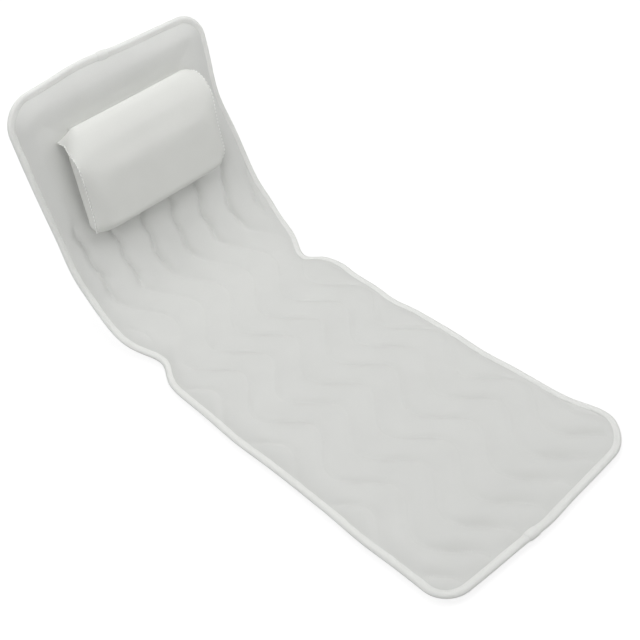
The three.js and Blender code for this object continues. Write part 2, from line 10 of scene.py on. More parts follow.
import bpy
import numpy as np
from mathutils import Matrix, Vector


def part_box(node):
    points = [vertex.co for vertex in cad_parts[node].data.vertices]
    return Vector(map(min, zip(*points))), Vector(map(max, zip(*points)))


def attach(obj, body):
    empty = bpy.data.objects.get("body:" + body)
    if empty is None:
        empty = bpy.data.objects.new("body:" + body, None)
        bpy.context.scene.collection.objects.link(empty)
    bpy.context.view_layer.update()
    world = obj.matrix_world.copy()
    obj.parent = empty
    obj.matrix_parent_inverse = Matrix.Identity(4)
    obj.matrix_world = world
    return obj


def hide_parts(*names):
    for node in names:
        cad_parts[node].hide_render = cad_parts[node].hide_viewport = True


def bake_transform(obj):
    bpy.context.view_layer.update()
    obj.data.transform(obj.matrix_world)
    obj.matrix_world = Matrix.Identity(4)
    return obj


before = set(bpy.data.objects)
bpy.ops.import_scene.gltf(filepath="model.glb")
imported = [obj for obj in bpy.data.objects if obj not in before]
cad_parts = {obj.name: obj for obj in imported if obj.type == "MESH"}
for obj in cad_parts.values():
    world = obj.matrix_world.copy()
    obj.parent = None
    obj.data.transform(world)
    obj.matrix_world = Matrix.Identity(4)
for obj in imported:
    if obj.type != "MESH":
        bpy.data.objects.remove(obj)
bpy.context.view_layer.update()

MM = 0.001
CLEARANCE = 0.3
# Half the step by which the directions of a surface are measured
NUDGE = 0.5

# The mat laid flat, as in the CAD
MAT_WIDTH = 400.0
FOOT_LENGTH = 692.0
BACK_LENGTH = 526.0
FOOT_BULGE = 9.0
HEAD_BULGE = 5.0
BULGE_REACH = 60.0
LEG_FOLD = -360.0
# The two soft bends of its side view: degrees, from where to where
WAIST_BEND = (66.0, -55.0, 250.0)
SHOULDER_BEND = (18.0, 100.0, 560.0)

# How the sewn outline departs from the plain one. Side -1 is left, 1 is right.
# Corner radii: at the foot, at the head
CORNER_RADII = {-1: (42.0, 55.0), 1: (50.0, 47.0)}
# Waist notches: deepest point, depth, spread towards the seat and towards the back
NOTCHES = {-1: (-12.0, 26.0, 42.0, 55.0), 1: (8.0, 25.0, 22.0, 42.0)}
# Slack and pull of the sides: where, over what spread, how far out
SIDE_WANDER = {
    -1: [(-530.0, 50.0, 2.5), (-250.0, 60.0, 3.0), (215.0, 50.0, 3.5)],
    1: [
        (-632.0, 45.0, 14.0), (-410.0, 45.0, -3.5), (-205.0, 35.0, -5.0), (-62.0, 30.0, 5.0),
        (145.0, 35.0, 3.5), (372.0, 62.0, -9.0),
    ],
}
HEAD_WANDER = (-45.0, 60.0, 6.0)
FOOT_WANDER = (0.0, 40.0, 3.5)

# Quilt: its outline, and heights above the underside
PANEL_INSET = 3.0
EDGE_TOP = 5.0
CREST = 13.0
EDGE_FLAT = 10.4
EDGE_RAMP = 28.0
QUILT_END = 262.0
# Stitch lines: how many, how they are spaced, and how they swing from side to side
STITCH_LINES = 8
STITCH_PITCH = 56.0
STITCH_MIDDLE = 14.5
STITCH_SWING = 26.0
SEAT_WAVE = 178.0
BACK_WAVE = 195.0
WAVE_START = -105.0
WAVE_END = WAVE_START + 1.25 * BACK_WAVE
TROUGH_DROP = 8.0
FAN = 0.09
FAN_MIDDLE = -60.0
# Unevenness of the lines on the back: how far to the side, over what length, and a shift from line to line
STITCH_WOBBLE = (2.4, 62.0, 2.1)
# Stretches over which one kind of quilting passes into the next
WAVE_SETTLES = (WAVE_END - 60.0, WAVE_END)
LINES_FAN = (175.0, 265.0)
SEAT_TO_BACK = (85.0, 160.0)
SEAT_TO_FOOT = (-430.0, -630.0)
SEAT_FADES = (-60.0, 0.0)
QUILT_FADES = (QUILT_END, QUILT_END + 40.0)
ROLL_RISES = (QUILT_END, QUILT_END + 80.0)
# How deep the lines sink in, and how far their valleys reach to the side
SEAT_RELIEF = 4.4
FOOT_RELIEF = 3.9
BACK_RELIEF = 9.2
WAIST_LOSS = 0.55
SEAT_VALLEY = 6.5
FOOT_VALLEY = 12.0
BACK_VALLEY = 13.0
BACK_CREASE = 7.0
CREASE_SHARE = 0.45
SOFT_VALLEY = 6.0
LEAST_SOFT = 0.01
# Share of the seat's relief where its lines slant to the right, what slanting left adds, and how abruptly
SLANT_SHARE = (0.42, 0.73, 4)
# Unevenness: height, length of the bumps, and a turn of their pattern
SWAY = [(0.7, 120.0, 0.0), (0.35, 46.0, 0.7)]
PUCKERS = [(0.35, 17.0, 0.4)]
PUCKER_REACH = 12.0
PUCKER_DEPTH = 0.1
# Padding pushed up inside the smooth head panel's edge: height, distance from the edge, spread
HEAD_ROLL = (3.0, 40.0, 24.0)
# Mesh of the quilt: spacing, and closer rows where the corners round off
GRID = 3.0
END_ROWS = np.array([0.0, 0.25, 0.8, 1.7, 3.0, 4.8, 7.0])
END_ROWS_REACH = 9.5

# The mat is cut into pieces with one fold each. They meet on the stiff sections between the folds.
CUTS = (-180.0, 62.5, 180.0)
# Each piece: name, the two bodies on either side of its fold, and from where to where that fold runs
SEGMENTS = [
    ("leg_seat", "leg", "seat", -390.0, -330.0),
    ("seat_lower_back", "seat", "lower_back", -45.0, 45.0),
    ("lower_upper_back", "lower_back", "upper_back", 85.0, 165.0),
    ("upper_back_head", "upper_back", "head", 195.0, 275.0),
]
# The sections and bindings of the CAD that each piece stands for
SEGMENT_SECTIONS = [("leg",), ("seat",), ("lower_back",), ("upper_back", "head")]
SEGMENT_BINDINGS = [
    ("leg_binding",),
    ("seat_binding_left", "seat_binding_right"),
    ("lower_back_binding_left", "lower_back_binding_right"),
    ("upper_back_binding_left", "upper_back_binding_right", "head_binding"),
]


def smooth(x):
    t = np.clip(x, 0.0, 1.0)
    return t * t * (3.0 - 2.0 * t)


def passage(s, stretch):
    """0 before a stretch, 1 after it."""
    start, end = stretch
    return smooth((s - start) / (end - start))


def bump(x, centre, spread):
    return np.exp(-(((x - centre) / spread) ** 2))


def unit(vectors):
    return vectors / np.maximum(np.linalg.norm(vectors, axis=-1, keepdims=True), 1e-12)


def travel(line):
    """Distance travelled along a line, at each of its points."""
    return np.concatenate([[0.0], np.cumsum(np.linalg.norm(np.diff(line, axis=0), axis=1))])


def at_stops(line, stops, values=None):
    """A line's points at distances along it, or other values that go with its points."""
    values = line if values is None else values
    way = travel(line)
    return np.stack([np.interp(stops, way, values[:, i]) for i in range(values.shape[1])], -1)


# Side view of the mat


def lean(s):
    """The mat's slope, in radians."""
    return np.radians(sum(size * passage(s, stretch) for size, *stretch in (WAIST_BEND, SHOULDER_BEND)))


CURVE_STEP = 0.5
CURVE_S = np.arange(-800.0, 700.0, CURVE_STEP)
CURVE_LEAN = lean(CURVE_S[:-1] + CURVE_STEP / 2)
CURVE_Y = CURVE_S[0] + CURVE_STEP * np.concatenate([[0.0], np.cumsum(np.cos(CURVE_LEAN))])
CURVE_Z = CURVE_STEP * np.concatenate([[0.0], np.cumsum(np.sin(CURVE_LEAN))])

seat_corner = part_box("seat_backing")[0]
ORIGIN = np.array([0.0, seat_corner.y - (LEG_FOLD + CLEARANCE) * MM, seat_corner.z])


def bowed(u, s):
    """The foot and head edges bow out, with a little slack of their own."""
    middle = 1.0 - (2.0 * u / MAT_WIDTH) ** 2
    foot = smooth((BULGE_REACH - FOOT_LENGTH - s) / BULGE_REACH)
    head = smooth((s - BACK_LENGTH + BULGE_REACH) / BULGE_REACH)
    foot_out = FOOT_BULGE * middle + FOOT_WANDER[2] * bump(u, *FOOT_WANDER[:2])
    head_out = HEAD_BULGE * middle + HEAD_WANDER[2] * bump(u, *HEAD_WANDER[:2])
    return s + head * head_out - foot * foot_out


def place(u, s, h):
    u, s, h = np.broadcast_arrays(*(np.asarray(x, float) for x in (u, s, h)))
    along = bowed(u, s)
    angle = lean(along)
    y = np.interp(along, CURVE_S, CURVE_Y) - h * np.sin(angle)
    z = np.interp(along, CURVE_S, CURVE_Z) + h * np.cos(angle)
    return np.stack([u, y, z], -1) * MM + ORIGIN


# Outline of the mat


def half_width(side, s):
    at, depth, to_seat, to_head = NOTCHES[side]
    width = MAT_WIDTH / 2 - depth * bump(s, at, np.where(s < at, to_seat, to_head))
    for centre, spread, out in SIDE_WANDER[side]:
        width = width + out * bump(s, centre, spread)
    return width


def corner_radius(side, s):
    foot, head = CORNER_RADII[side]
    return np.where(s > 0, head, foot)


def end_length(end):
    """How far the head (1) or foot (-1) is from the waist line."""
    return BACK_LENGTH if end > 0 else FOOT_LENGTH


def end_distance(s):
    return np.where(s > 0, BACK_LENGTH - s, s + FOOT_LENGTH)


def side_edge(side, s):
    """How far out the quilt reaches at s: the outline drawn in by its inset."""
    radius = corner_radius(side, s) - PANEL_INSET
    short = np.clip(radius - (end_distance(s) - PANEL_INSET), 0.0, radius)
    return half_width(side, s) - PANEL_INSET - radius + np.sqrt(radius**2 - short**2)


def edge_distance(u, s):
    left = u < 0
    side = np.where(left, half_width(-1, s) + u, half_width(1, s) - u)
    end = end_distance(s)
    radius = np.where(left, corner_radius(-1, s), corner_radius(1, s))
    corner = radius - np.hypot(radius - end, radius - side)
    return np.where((side < radius) & (end < radius), corner, np.minimum(side, end))


# Quilting

# Waves that make up an unevenness: direction in radians, and how much finer than its length each one is
RIPPLES = [(0.3, 1.0), (1.4, 1.27), (2.5, 0.83), (0.9, 1.61), (2.0, 0.71)]
RIPPLE_PHASE = 2.399
TURN_PHASE = 7.1


def ripple(u, s, length, turn):
    """A smooth, fixed unevenness from -1 to 1 with bumps of about that length."""
    total = 0.0
    for k, (angle, stretch) in enumerate(RIPPLES, 1):
        phase = RIPPLE_PHASE * k + TURN_PHASE * turn
        direction = u * math.cos(angle + turn) + s * math.sin(angle + turn)
        total = total + np.sin(2.0 * math.pi * stretch * direction / length + phase)
    return total / len(RIPPLES)


def unevenness(u, s, waves):
    return sum(height * ripple(u, s, length, turn) for height, length, turn in waves)


def to_back(s):
    """0 on the seat, 1 on the back."""
    return passage(s, SEAT_TO_BACK)


def to_foot(s):
    """0 on the seat, 1 at the foot end."""
    return passage(s, SEAT_TO_FOOT)


def wave(s):
    """How far a stitch line swings to the side: full waves up to the back, then a slack run to the pillow."""
    length = np.where(s < WAVE_START, SEAT_WAVE, BACK_WAVE)
    along = np.minimum(s, WAVE_END)
    swing = -STITCH_SWING * np.sin(2.0 * math.pi * (along - WAVE_START) / length)
    return swing - TROUGH_DROP * passage(s, WAVE_SETTLES)


def slant(s):
    """1 where the seat's stitch lines slant most to the left on their way up, 0 where most to the right."""
    return 0.5 + 0.5 * np.cos(2.0 * math.pi * (s - WAVE_START) / SEAT_WAVE)


def stitch_line(k, s):
    """Where stitch line k is across the mat. The lines wave, fan out below the pillow and wobble a little."""
    line = STITCH_MIDDLE + (k - (STITCH_LINES - 1) / 2) * STITCH_PITCH
    fan = FAN * (line - FAN_MIDDLE) * passage(s, LINES_FAN)
    swing, length, shift = STITCH_WOBBLE
    wobble = swing * to_back(s) * np.sin(2.0 * math.pi * s / length + shift * k)
    return line + wave(s) + fan + wobble


def stitch_distance(u, s):
    slope = (stitch_line(0, s + 1.0) - stitch_line(0, s - 1.0)) / 2.0
    lines = np.stack([np.abs(u - stitch_line(k, s)) for k in range(STITCH_LINES)])
    return lines.min(0) / np.sqrt(1.0 + slope**2)


def relief(s):
    """Depth of the stitched valleys: on the seat most where the lines slant left, and deep on the back."""
    least, gain, power = SLANT_SHARE
    seat = (SEAT_RELIEF + FOOT_RELIEF * to_foot(s)) * (least + gain * slant(s) ** power)
    seat = seat * (1.0 - WAIST_LOSS * passage(s, SEAT_FADES))
    deep = seat + (BACK_RELIEF - seat) * to_back(s)
    return deep * (1.0 - passage(s, QUILT_FADES))


def valley(distance, s):
    """1 on a stitch line, 0 well beside it. The bottom is rounded where the seat's lines slant right."""
    back = to_back(s)
    soft = SOFT_VALLEY * (1.0 - slant(s)) * (1.0 - back) + LEAST_SOFT
    rounded = np.hypot(distance, soft) - soft
    reach = SEAT_VALLEY + (BACK_VALLEY - SEAT_VALLEY) * back + (FOOT_VALLEY - SEAT_VALLEY) * to_foot(s)
    crease = CREASE_SHARE * back
    return 1.0 - (1.0 - crease) * np.tanh(rounded / reach) - crease * np.tanh(distance / BACK_CREASE)


def top_height(u, s):
    """Height of the quilted face above the underside."""
    edge = edge_distance(u, s)
    rise = 1.0 - np.clip(1.0 - (edge - EDGE_FLAT) / EDGE_RAMP, 0.0, 1.0) ** 2
    distance = stitch_distance(u, s)
    puckers = unevenness(u, s, PUCKERS) * np.exp(-distance / PUCKER_REACH)
    sunk = relief(s) * (valley(distance, s) + PUCKER_DEPTH * puckers)
    height, *where = HEAD_ROLL
    roll = height * bump(edge, *where) * passage(s, ROLL_RISES)
    return EDGE_TOP + rise * (CREST - EDGE_TOP - sunk + unevenness(u, s, SWAY) + puckers + roll)


def quilt_top(u, s):
    return place(u, s, top_height(u, s))


# Meshes


def make_piece(name, points, faces, materials, uv=None, slots=None, normals=None):
    """A mesh piece: points in metres, faces by index, a UV pair per point, a material number per face."""
    mesh = bpy.data.meshes.new(name)
    mesh.from_pydata(np.asarray(points, float).tolist(), [], [list(f) for f in faces])
    for material in materials:
        mesh.materials.append(material)
    if slots is not None:
        mesh.polygons.foreach_set("material_index", np.asarray(slots, np.int32))
    if uv is not None:
        index = np.zeros(len(mesh.loops), np.int32)
        mesh.loops.foreach_get("vertex_index", index)
        layer = mesh.uv_layers.new(name="cloth")
        layer.data.foreach_set("uv", np.asarray(uv, np.float32)[index].ravel())
    mesh.polygons.foreach_set("use_smooth", np.ones(len(mesh.polygons), bool))
    mesh.update()
    if normals is not None:
        mesh.normals_split_custom_set_from_vertices(np.asarray(normals, float).tolist())
    piece = bpy.data.objects.new(name, mesh)
    bpy.context.scene.collection.objects.link(piece)
    return piece


def grid_faces(rows, columns, close=False):
    """Quads over points that are numbered row by row. A closed grid joins each row's ends."""
    i, j = np.meshgrid(np.arange(rows - 1), np.arange(columns if close else columns - 1), indexing="ij")
    here, there = i * columns, (i + 1) * columns
    right = (j + 1) % columns
    quads = np.stack([here + j, here + right, there + right, there + j], -1)
    return quads.reshape(-1, 4).tolist()


def capped_grid(rows, columns):
    """Faces of a tube of closed rings, with its two ends."""
    ends = [list(range(columns))[::-1], list(range((rows - 1) * columns, rows * columns))]
    return grid_faces(rows, columns, close=True) + ends


def tube(points):
    """Faces and normals, facing out, of a tube with capped ends, whose points are rows of closed rings."""
    rows, columns = points.shape[:2]
    ring = np.roll(points, -1, 1) - np.roll(points, 1, 1)
    normals = unit(np.cross(ring, np.gradient(points, axis=0)))
    faces = capped_grid(rows, columns)
    if (normals * (points - points.mean(1, keepdims=True))).sum() < 0:
        return [face[::-1] for face in faces], -normals
    return faces, normals


def surface_frame(locate, u, s):
    """Places, directions across and along, and normals of a surface over the mat."""
    across = locate(u + NUDGE, s) - locate(u - NUDGE, s)
    along = locate(u, s + NUDGE) - locate(u, s - NUDGE)
    return locate(u, s), unit(across), unit(along), unit(np.cross(across, along))


def uv_pairs(first, second):
    """UVs in metres from two directions in millimetres."""
    return np.stack(np.broadcast_arrays(first, second), -1) * MM


class Parts:
    """Collects the points and faces of one piece that is made of several shapes."""

    def __init__(self):
        self.points, self.uv, self.normals, self.faces, self.slots = [], [], [], [], []
        self.count = 0

    def add(self, points, faces, uv, normals, slot):
        self.points.append(np.asarray(points).reshape(-1, 3))
        self.uv.append(np.asarray(uv).reshape(-1, 2))
        self.normals.append(np.asarray(normals).reshape(-1, 3))
        self.faces.extend([[i + self.count for i in face] for face in faces])
        self.slots.extend([slot] * len(faces))
        self.count += len(self.points[-1])

    def make(self, name, materials):
        points, uv, normals = (np.concatenate(x) for x in (self.points, self.uv, self.normals))
        return make_piece(name, points, self.faces, materials, uv, self.slots, normals)


# Sewing thread: each stitch is a short bead whose ends dip into the cloth

THREAD_RADIUS = 0.38
THREAD_SIDES = 6
# Rings of a bead: place along it, share of the radius, lift in radii
THREAD_RINGS = [(-0.5, 0.35, -0.55), (-0.3, 1.0, 0.1), (0.0, 1.0, 0.3), (0.3, 1.0, 0.1), (0.5, 0.35, -0.55)]
QUILT_STITCH = 3.4
QUILT_STITCH_PITCH = 4.6
# Where the quilting stitches end: past the quilted area, and short of the binding
STITCHES_RUN_ON = 20.0
STITCH_MARGIN = 3.0
FINE_STEP = 0.25
BINDING_REACH = 11.4


def add_stitches(parts, centres, along, normals, length, radius, slot):
    """Stitches at centres in metres, each lying along a direction on a surface with those normals."""
    length, radius = length * MM, radius * MM
    along = unit(along)
    across = unit(np.cross(normals, along))
    rings, outward = [], []
    for shift, share, lift in THREAD_RINGS:
        middle = centres + along * (shift * length) + normals * (lift * radius)
        for angle in np.arange(THREAD_SIDES) * 2.0 * math.pi / THREAD_SIDES:
            way = across * math.cos(angle) + normals * math.sin(angle)
            rings.append(middle + way * (radius * share))
            outward.append(way)
    points = np.stack(rings, 1)
    count, size = points.shape[:2]
    bead = capped_grid(len(THREAD_RINGS), THREAD_SIDES)
    faces = [[i + k * size for i in face] for k in range(count) for face in bead]
    parts.add(points, faces, np.zeros((count * size, 2)), np.stack(outward, 1), slot)


def add_quilt_stitches(parts, start, end, slot):
    fine = np.arange(start, min(end, QUILT_END + STITCHES_RUN_ON), FINE_STEP)
    for k in range(STITCH_LINES):
        way = travel(np.stack([stitch_line(k, fine), fine], -1))
        s = np.interp(np.arange(QUILT_STITCH_PITCH, way[-1], QUILT_STITCH_PITCH), way, fine)
        u = stitch_line(k, s)
        inside = (edge_distance(u, s) > BINDING_REACH + STITCH_MARGIN) & (np.abs(u) < MAT_WIDTH / 2)
        if not inside.any():
            continue
        u, s = u[inside], s[inside]
        here, across, along, normals = surface_frame(quilt_top, u, s)
        slope = (stitch_line(k, s + NUDGE) - stitch_line(k, s - NUDGE))[:, None]
        add_stitches(parts, here, along + across * slope, normals, QUILT_STITCH, THREAD_RADIUS, slot)


# Quilted padding and its backing

PADDING_BASE = 1.3
BACKING_TOP = 1.1
BACKING_COLUMNS = 41
# The stitching draws the backing up: how far, how wide, and from how far inside the binding
BACKING_LIFT = 0.7
BACKING_VALLEY = 6.0
BACKING_EDGE = 20.0


def quilt_rows():
    """Stations along the mat: close together where the corners round off, and one on each cut."""
    foot, head = PANEL_INSET - FOOT_LENGTH, BACK_LENGTH - PANEL_INSET
    stops = [foot + END_ROWS_REACH, *CUTS, head - END_ROWS_REACH]
    spans = [np.linspace(a, b, max(int((b - a) / GRID), 2)) for a, b in zip(stops, stops[1:])]
    return np.unique(np.concatenate([foot + END_ROWS, *spans, head - END_ROWS]))


def panel_points(s, columns):
    """A grid over the mat: for each station, places from the left edge to the right one."""
    share = np.linspace(0.0, 1.0, columns)[None, :]
    left, right = -side_edge(-1, s)[:, None], side_edge(1, s)[:, None]
    return left + (right - left) * share, np.repeat(s[:, None], columns, 1)


def between_cuts(s, number):
    ends = [-np.inf, *CUTS, np.inf]
    return s[(s >= ends[number] - 1e-6) & (s <= ends[number + 1] + 1e-6)]


def padded_segment(number, looks):
    """A length of quilt: each row of its face is closed by a low point at its right and its left end."""
    rows = between_cuts(quilt_rows(), number)
    u, s = panel_points(rows, int(MAT_WIDTH / GRID) + 1)
    top, _, _, normals = surface_frame(quilt_top, u, s)
    low = place(u[:, [-1, 0]], s[:, [-1, 0]], PADDING_BASE)
    points = np.concatenate([top, low], 1)
    uv = np.concatenate([uv_pairs(u, s), np.zeros((len(rows), 2, 2))], 1)
    normals = np.concatenate([normals, np.repeat(-normals[:, :1], 2, 1)], 1)
    parts = Parts()
    parts.add(points, capped_grid(*points.shape[:2]), uv, normals, 0)
    add_quilt_stitches(parts, rows[0], rows[-1], 1)
    return parts.make(f"quilt_{SEGMENTS[number][0]}", [looks["quilt"], looks["quilt_thread"]])


def backing_under(u, s):
    """The underside, which the stitching draws up a little along its lines."""
    inside = smooth((edge_distance(u, s) - BINDING_REACH) / BACKING_EDGE)
    drawn = 1.0 - np.tanh(stitch_distance(u, s) / BACKING_VALLEY)
    return place(u, s, inside * BACKING_LIFT * drawn * relief(s) / BACK_RELIEF)


def cloth_area(grid):
    a, b = np.diff(grid[:, :-1], axis=0), np.diff(grid[:-1], axis=1)
    return float(np.linalg.norm(np.cross(a, b), axis=-1).sum())


def backing_segment(number, looks):
    rows = between_cuts(np.unique(np.concatenate([quilt_rows()[::2], CUTS])), number)
    u, s = panel_points(rows, BACKING_COLUMNS)
    under, _, _, normals = surface_frame(backing_under, u, s)
    faces = grid_faces(*u.shape)
    parts = Parts()
    parts.add(under, [face[::-1] for face in faces], uv_pairs(u, s), -normals, 0)
    parts.add(place(u, s, BACKING_TOP), faces, uv_pairs(u, s), normals, 0)
    return parts.make(f"backing_{SEGMENTS[number][0]}", [looks["backing"]]), cloth_area(under)


# Edge binding: a tape folded round the edge, sewn down through both of its flaps

BINDING_STEP = 3.0
BINDING_STITCH = 3.2
BINDING_STITCH_PITCH = 4.4
BINDING_SEAM = 9.0
SEAM_HEIGHT = 6.1
CORNER_STEPS = 24
END_STEPS = 60
# The flaps lie unevenly from here to here across the tape: how far, over what length, turn of the pattern
FLAP_STARTS = (5.0, 10.0)
FLAP_WANDER = [(0.7, 38.0, 0.5)]
FLAP_SLACK = [(0.28, 15.0, 0.2)]
FOLD_HEIGHT = 2.5
# Across the tape, from the inner edge of its top flap round the fold to that of its lower flap: depth, height
BINDING_OUTSIDE = [
    (11.4, 5.6), (11.1, 6.0), (10.3, 6.2), (9.0, 6.0), (7.4, 6.6), (5.4, 6.8), (3.4, 6.45), (1.8, 5.6),
    (0.6, 4.3), (0.0, 2.5), (0.6, 0.8), (1.8, -0.5), (3.4, -1.2), (5.4, -1.45), (9.0, -1.3), (11.1, -1.1),
    (11.4, -0.7),
]
BINDING_INSIDE = [
    (11.1, -0.35), (7.0, -0.4), (4.0, -0.2), (2.4, 0.8), (2.0, 2.5), (2.4, 4.2), (4.0, 5.2), (7.0, 5.3),
    (11.1, 5.3),
]
# The overlap of the tape's ends: size, rise over the tape below, and how squarely its edges are turned in
JOIN_WIDTH = 20.0
JOIN_STEPS = 15
JOIN_RAISE = 1.3
JOIN_GAP = 0.1
JOIN_THICKNESS = 0.05
JOIN_SQUARE = 6
JOIN_UV_STEP = 1.6
TAPE_MIDDLE = (6.7, 2.6)


def corner_turn(side, end, first, last):
    """Points of one rounded corner, from its first angle to its last, in degrees from the side."""
    radius = corner_radius(side, end)
    angle = np.radians(np.linspace(first, last, CORNER_STEPS))
    s = end * (end_length(end) - radius + radius * np.sin(angle))
    u = side * (half_width(side, s) - radius + radius * np.cos(angle))
    return np.stack([u, s], -1)


def side_run(side, first, last):
    s = np.linspace(first, last, max(int(abs(last - first) / BINDING_STEP), 2))
    return np.stack([side * half_width(side, s), s], -1)


def end_run(end, first, last):
    u = np.linspace(first, last, END_STEPS)
    return np.stack([u, np.full_like(u, end * end_length(end))], -1)


def end_outline(end, cut):
    """From the cut on the right side round the foot or head to the cut on the left side."""
    right, left = corner_turn(1, end, 0.0, 90.0), corner_turn(-1, end, 90.0, 0.0)
    middle = end_run(end, right[-1, 0], left[0, 0])[1:-1]
    up, down = side_run(1, cut, right[0, 1])[:-1], side_run(-1, left[-1, 1], cut)[1:]
    return np.concatenate([up, right, middle, left, down])


def resampled(line, step):
    """Points about a step apart on a line, and how far along it each one is."""
    length = travel(line)[-1]
    stops = np.linspace(0.0, length, max(int(length / step), 2) + 1)
    return at_stops(line, stops), stops


def inward_of(line, inside):
    """Unit directions square to a line on the mat, on the side where the mat is."""
    along = unit(np.gradient(line, axis=0))
    return np.stack([-along[:, 1], along[:, 0]], -1) * inside


def add_binding(parts, line, inside):
    """The tape along a line on the mat; inside is 1 where the mat is on the line's left, -1 on its right."""
    line, travelled = resampled(line, BINDING_STEP)
    inward = inward_of(line, inside)
    profile = np.array(BINDING_OUTSIDE + BINDING_INSIDE)
    depth, height = profile.T[:, None, :]
    flap = passage(depth, FLAP_STARTS)
    upper = height > FOLD_HEIGHT
    height = height + flap * upper * unevenness(*line.T, FLAP_SLACK)[:, None]
    depth = depth + flap * unevenness(*line.T, FLAP_WANDER)[:, None]
    points = place(line[:, :1] + inward[:, :1] * depth, line[:, 1:] + inward[:, 1:] * depth, height)
    faces, normals = tube(points)
    parts.add(points, faces, uv_pairs(travelled[:, None], travel(profile)[None, :]), normals, 0)
    add_binding_stitches(parts, line, inside)
    return float(travelled[-1])


def add_binding_stitches(parts, line, inside):
    line, _ = resampled(line, BINDING_STITCH_PITCH)
    inward = inward_of(line, inside)
    seam = line + inward * BINDING_SEAM
    centres = place(*seam.T, SEAM_HEIGHT)
    along = np.gradient(centres, axis=0)
    across = place(*(seam + inward).T, SEAM_HEIGHT) - centres
    normals = unit(np.cross(along, across)) * inside
    add_stitches(parts, centres, along, normals, BINDING_STITCH, THREAD_RADIUS, 1)


def binding_segment(number, looks):
    parts = Parts()
    if number == 0:
        length = add_binding(parts, end_outline(-1, CUTS[0]), -1)
    elif number == len(SEGMENTS) - 1:
        length = add_binding(parts, end_outline(1, CUTS[-1]), 1)
    else:
        first, last = CUTS[number - 1], CUTS[number]
        length = add_binding(parts, side_run(-1, first, last), -1)
        length += add_binding(parts, side_run(1, first, last), 1)
    return parts.make(f"binding_{SEGMENTS[number][0]}", [looks["binding"], looks["thread"]]), length


def binding_join(name, end, offset, looks):
    """The tape's two ends overlap: a short second layer with a turned-in edge."""
    u = np.linspace(offset - JOIN_WIDTH / 2, offset + JOIN_WIDTH / 2, JOIN_STEPS)
    edge = np.abs(u - offset) * 2.0 / JOIN_WIDTH
    raised = JOIN_RAISE * (1.0 - edge**JOIN_SQUARE)[:, None, None] + JOIN_GAP + JOIN_THICKNESS
    profile = np.array(BINDING_OUTSIDE)
    away = unit(profile - np.array(TAPE_MIDDLE))
    outer = profile + away * raised
    inner = np.repeat((profile + away * JOIN_GAP)[None, ::-1], JOIN_STEPS, 0)
    depth, height = np.moveaxis(np.concatenate([outer, inner], 1), -1, 0)
    points = place(u[:, None], end * (end_length(end) - depth), height)
    faces, normals = tube(points)
    around = np.arange(points.shape[1]) * JOIN_UV_STEP
    parts = Parts()
    parts.add(points, faces, uv_pairs(u[:, None], around[None, :]), normals, 0)
    return parts.make(name, [looks["binding"]])


# Head pillow

PILLOW_WIDTH = 276.0
PILLOW_HEIGHT = 172.0
PILLOW_DEPTH = 64.0
PILLOW_SHIFT = 1.0
PILLOW_BOTTOM = 262.0
PILLOW_STANDOFF = 3.0
HEAD_TOP = 12.9
PILLOW_ACROSS = 64
PILLOW_ROUND = 72
GUSSET_STEPS = 12
GUSSET_UV_SHIFT = 0.4
CURVE_PARTS = 16
# Side view from the lower back corner round the front to the top seam: share of height, of depth
PILLOW_MIDDLE = [
    (0, 0), (-0.012, 0.2), (0, 0.44), (0.05, 0.605), (0.15, 0.705), (0.265, 0.795), (0.38, 0.87),
    (0.485, 0.923), (0.585, 0.952), (0.685, 0.955), (0.785, 0.93), (0.88, 0.88), (0.967, 0.803),
    (1.04, 0.705), (1.098, 0.583), (1.13, 0.43), (1.085, 0.275), (1, 0),
]
PILLOW_LEFT = [
    (0.02, 0), (0.02, 0.16), (0.04, 0.34), (0.09, 0.455), (0.18, 0.525), (0.285, 0.585), (0.39, 0.648),
    (0.49, 0.715), (0.585, 0.785), (0.675, 0.84), (0.75, 0.865), (0.82, 0.845), (0.88, 0.765),
    (0.925, 0.64), (0.955, 0.49), (0.98, 0.3), (1, 0.1), (1, 0),
]
PILLOW_RIGHT = [
    (0.03, 0), (0.03, 0.18), (0.04, 0.38), (0.09, 0.505), (0.18, 0.57), (0.285, 0.63), (0.39, 0.692),
    (0.49, 0.753), (0.59, 0.81), (0.69, 0.858), (0.785, 0.872), (0.87, 0.835), (0.95, 0.755),
    (1.01, 0.64), (1.045, 0.51), (1.055, 0.355), (1.03, 0.14), (1, 0),
]
# Ends: the share of the half width over which the cover draws in, how gradually, and the back edge's tuck
END_REACH = 0.2
END_EASE = 1.6
END_TUCK = 32.0
TUCK_REACH = 20.0
# How far the gussets belly out. Left: depth and spread, how far at each rise. Right: how far, depth, rise.
BELLY_POWER = 10
LEFT_BELLY = (18.0, 16.0)
LEFT_RISE = [3.0, 20.0, 57.0, 99.0, 152.0]
LEFT_OUT = [3.0, 10.0, 5.0, 0.0, -6.0]
RIGHT_BELLY = (9.0, (34.0, 24.0), (146.0, 30.0))
# The right gusset is drawn in all over, and more below a rise
RIGHT_IN = 4.0
RIGHT_FOOT_IN = 12.0
RIGHT_FOOT = 30.0
# Swelling by simulation
PILLOW_CAP = 0.003
PILLOW_FRAMES = 20
PILLOW_CLOTH = {
    "quality": 6,
    "mass": 0.25,
    "tension_stiffness": 20.0,
    "compression_stiffness": 8.0,
    "shear_stiffness": 5.0,
    "bending_stiffness": 4.0,
    "use_pressure": True,
    "uniform_pressure_force": 1.2,
}
# Zigzag seam over the gussets' edges, which starts and ends a few points inside
OVERLOCK_PITCH = 3.4
OVERLOCK_WIDTH = 3.2
OVERLOCK_RADIUS = 0.9
OVERLOCK_LIFT = 0.5
OVERLOCK_INSET = 2


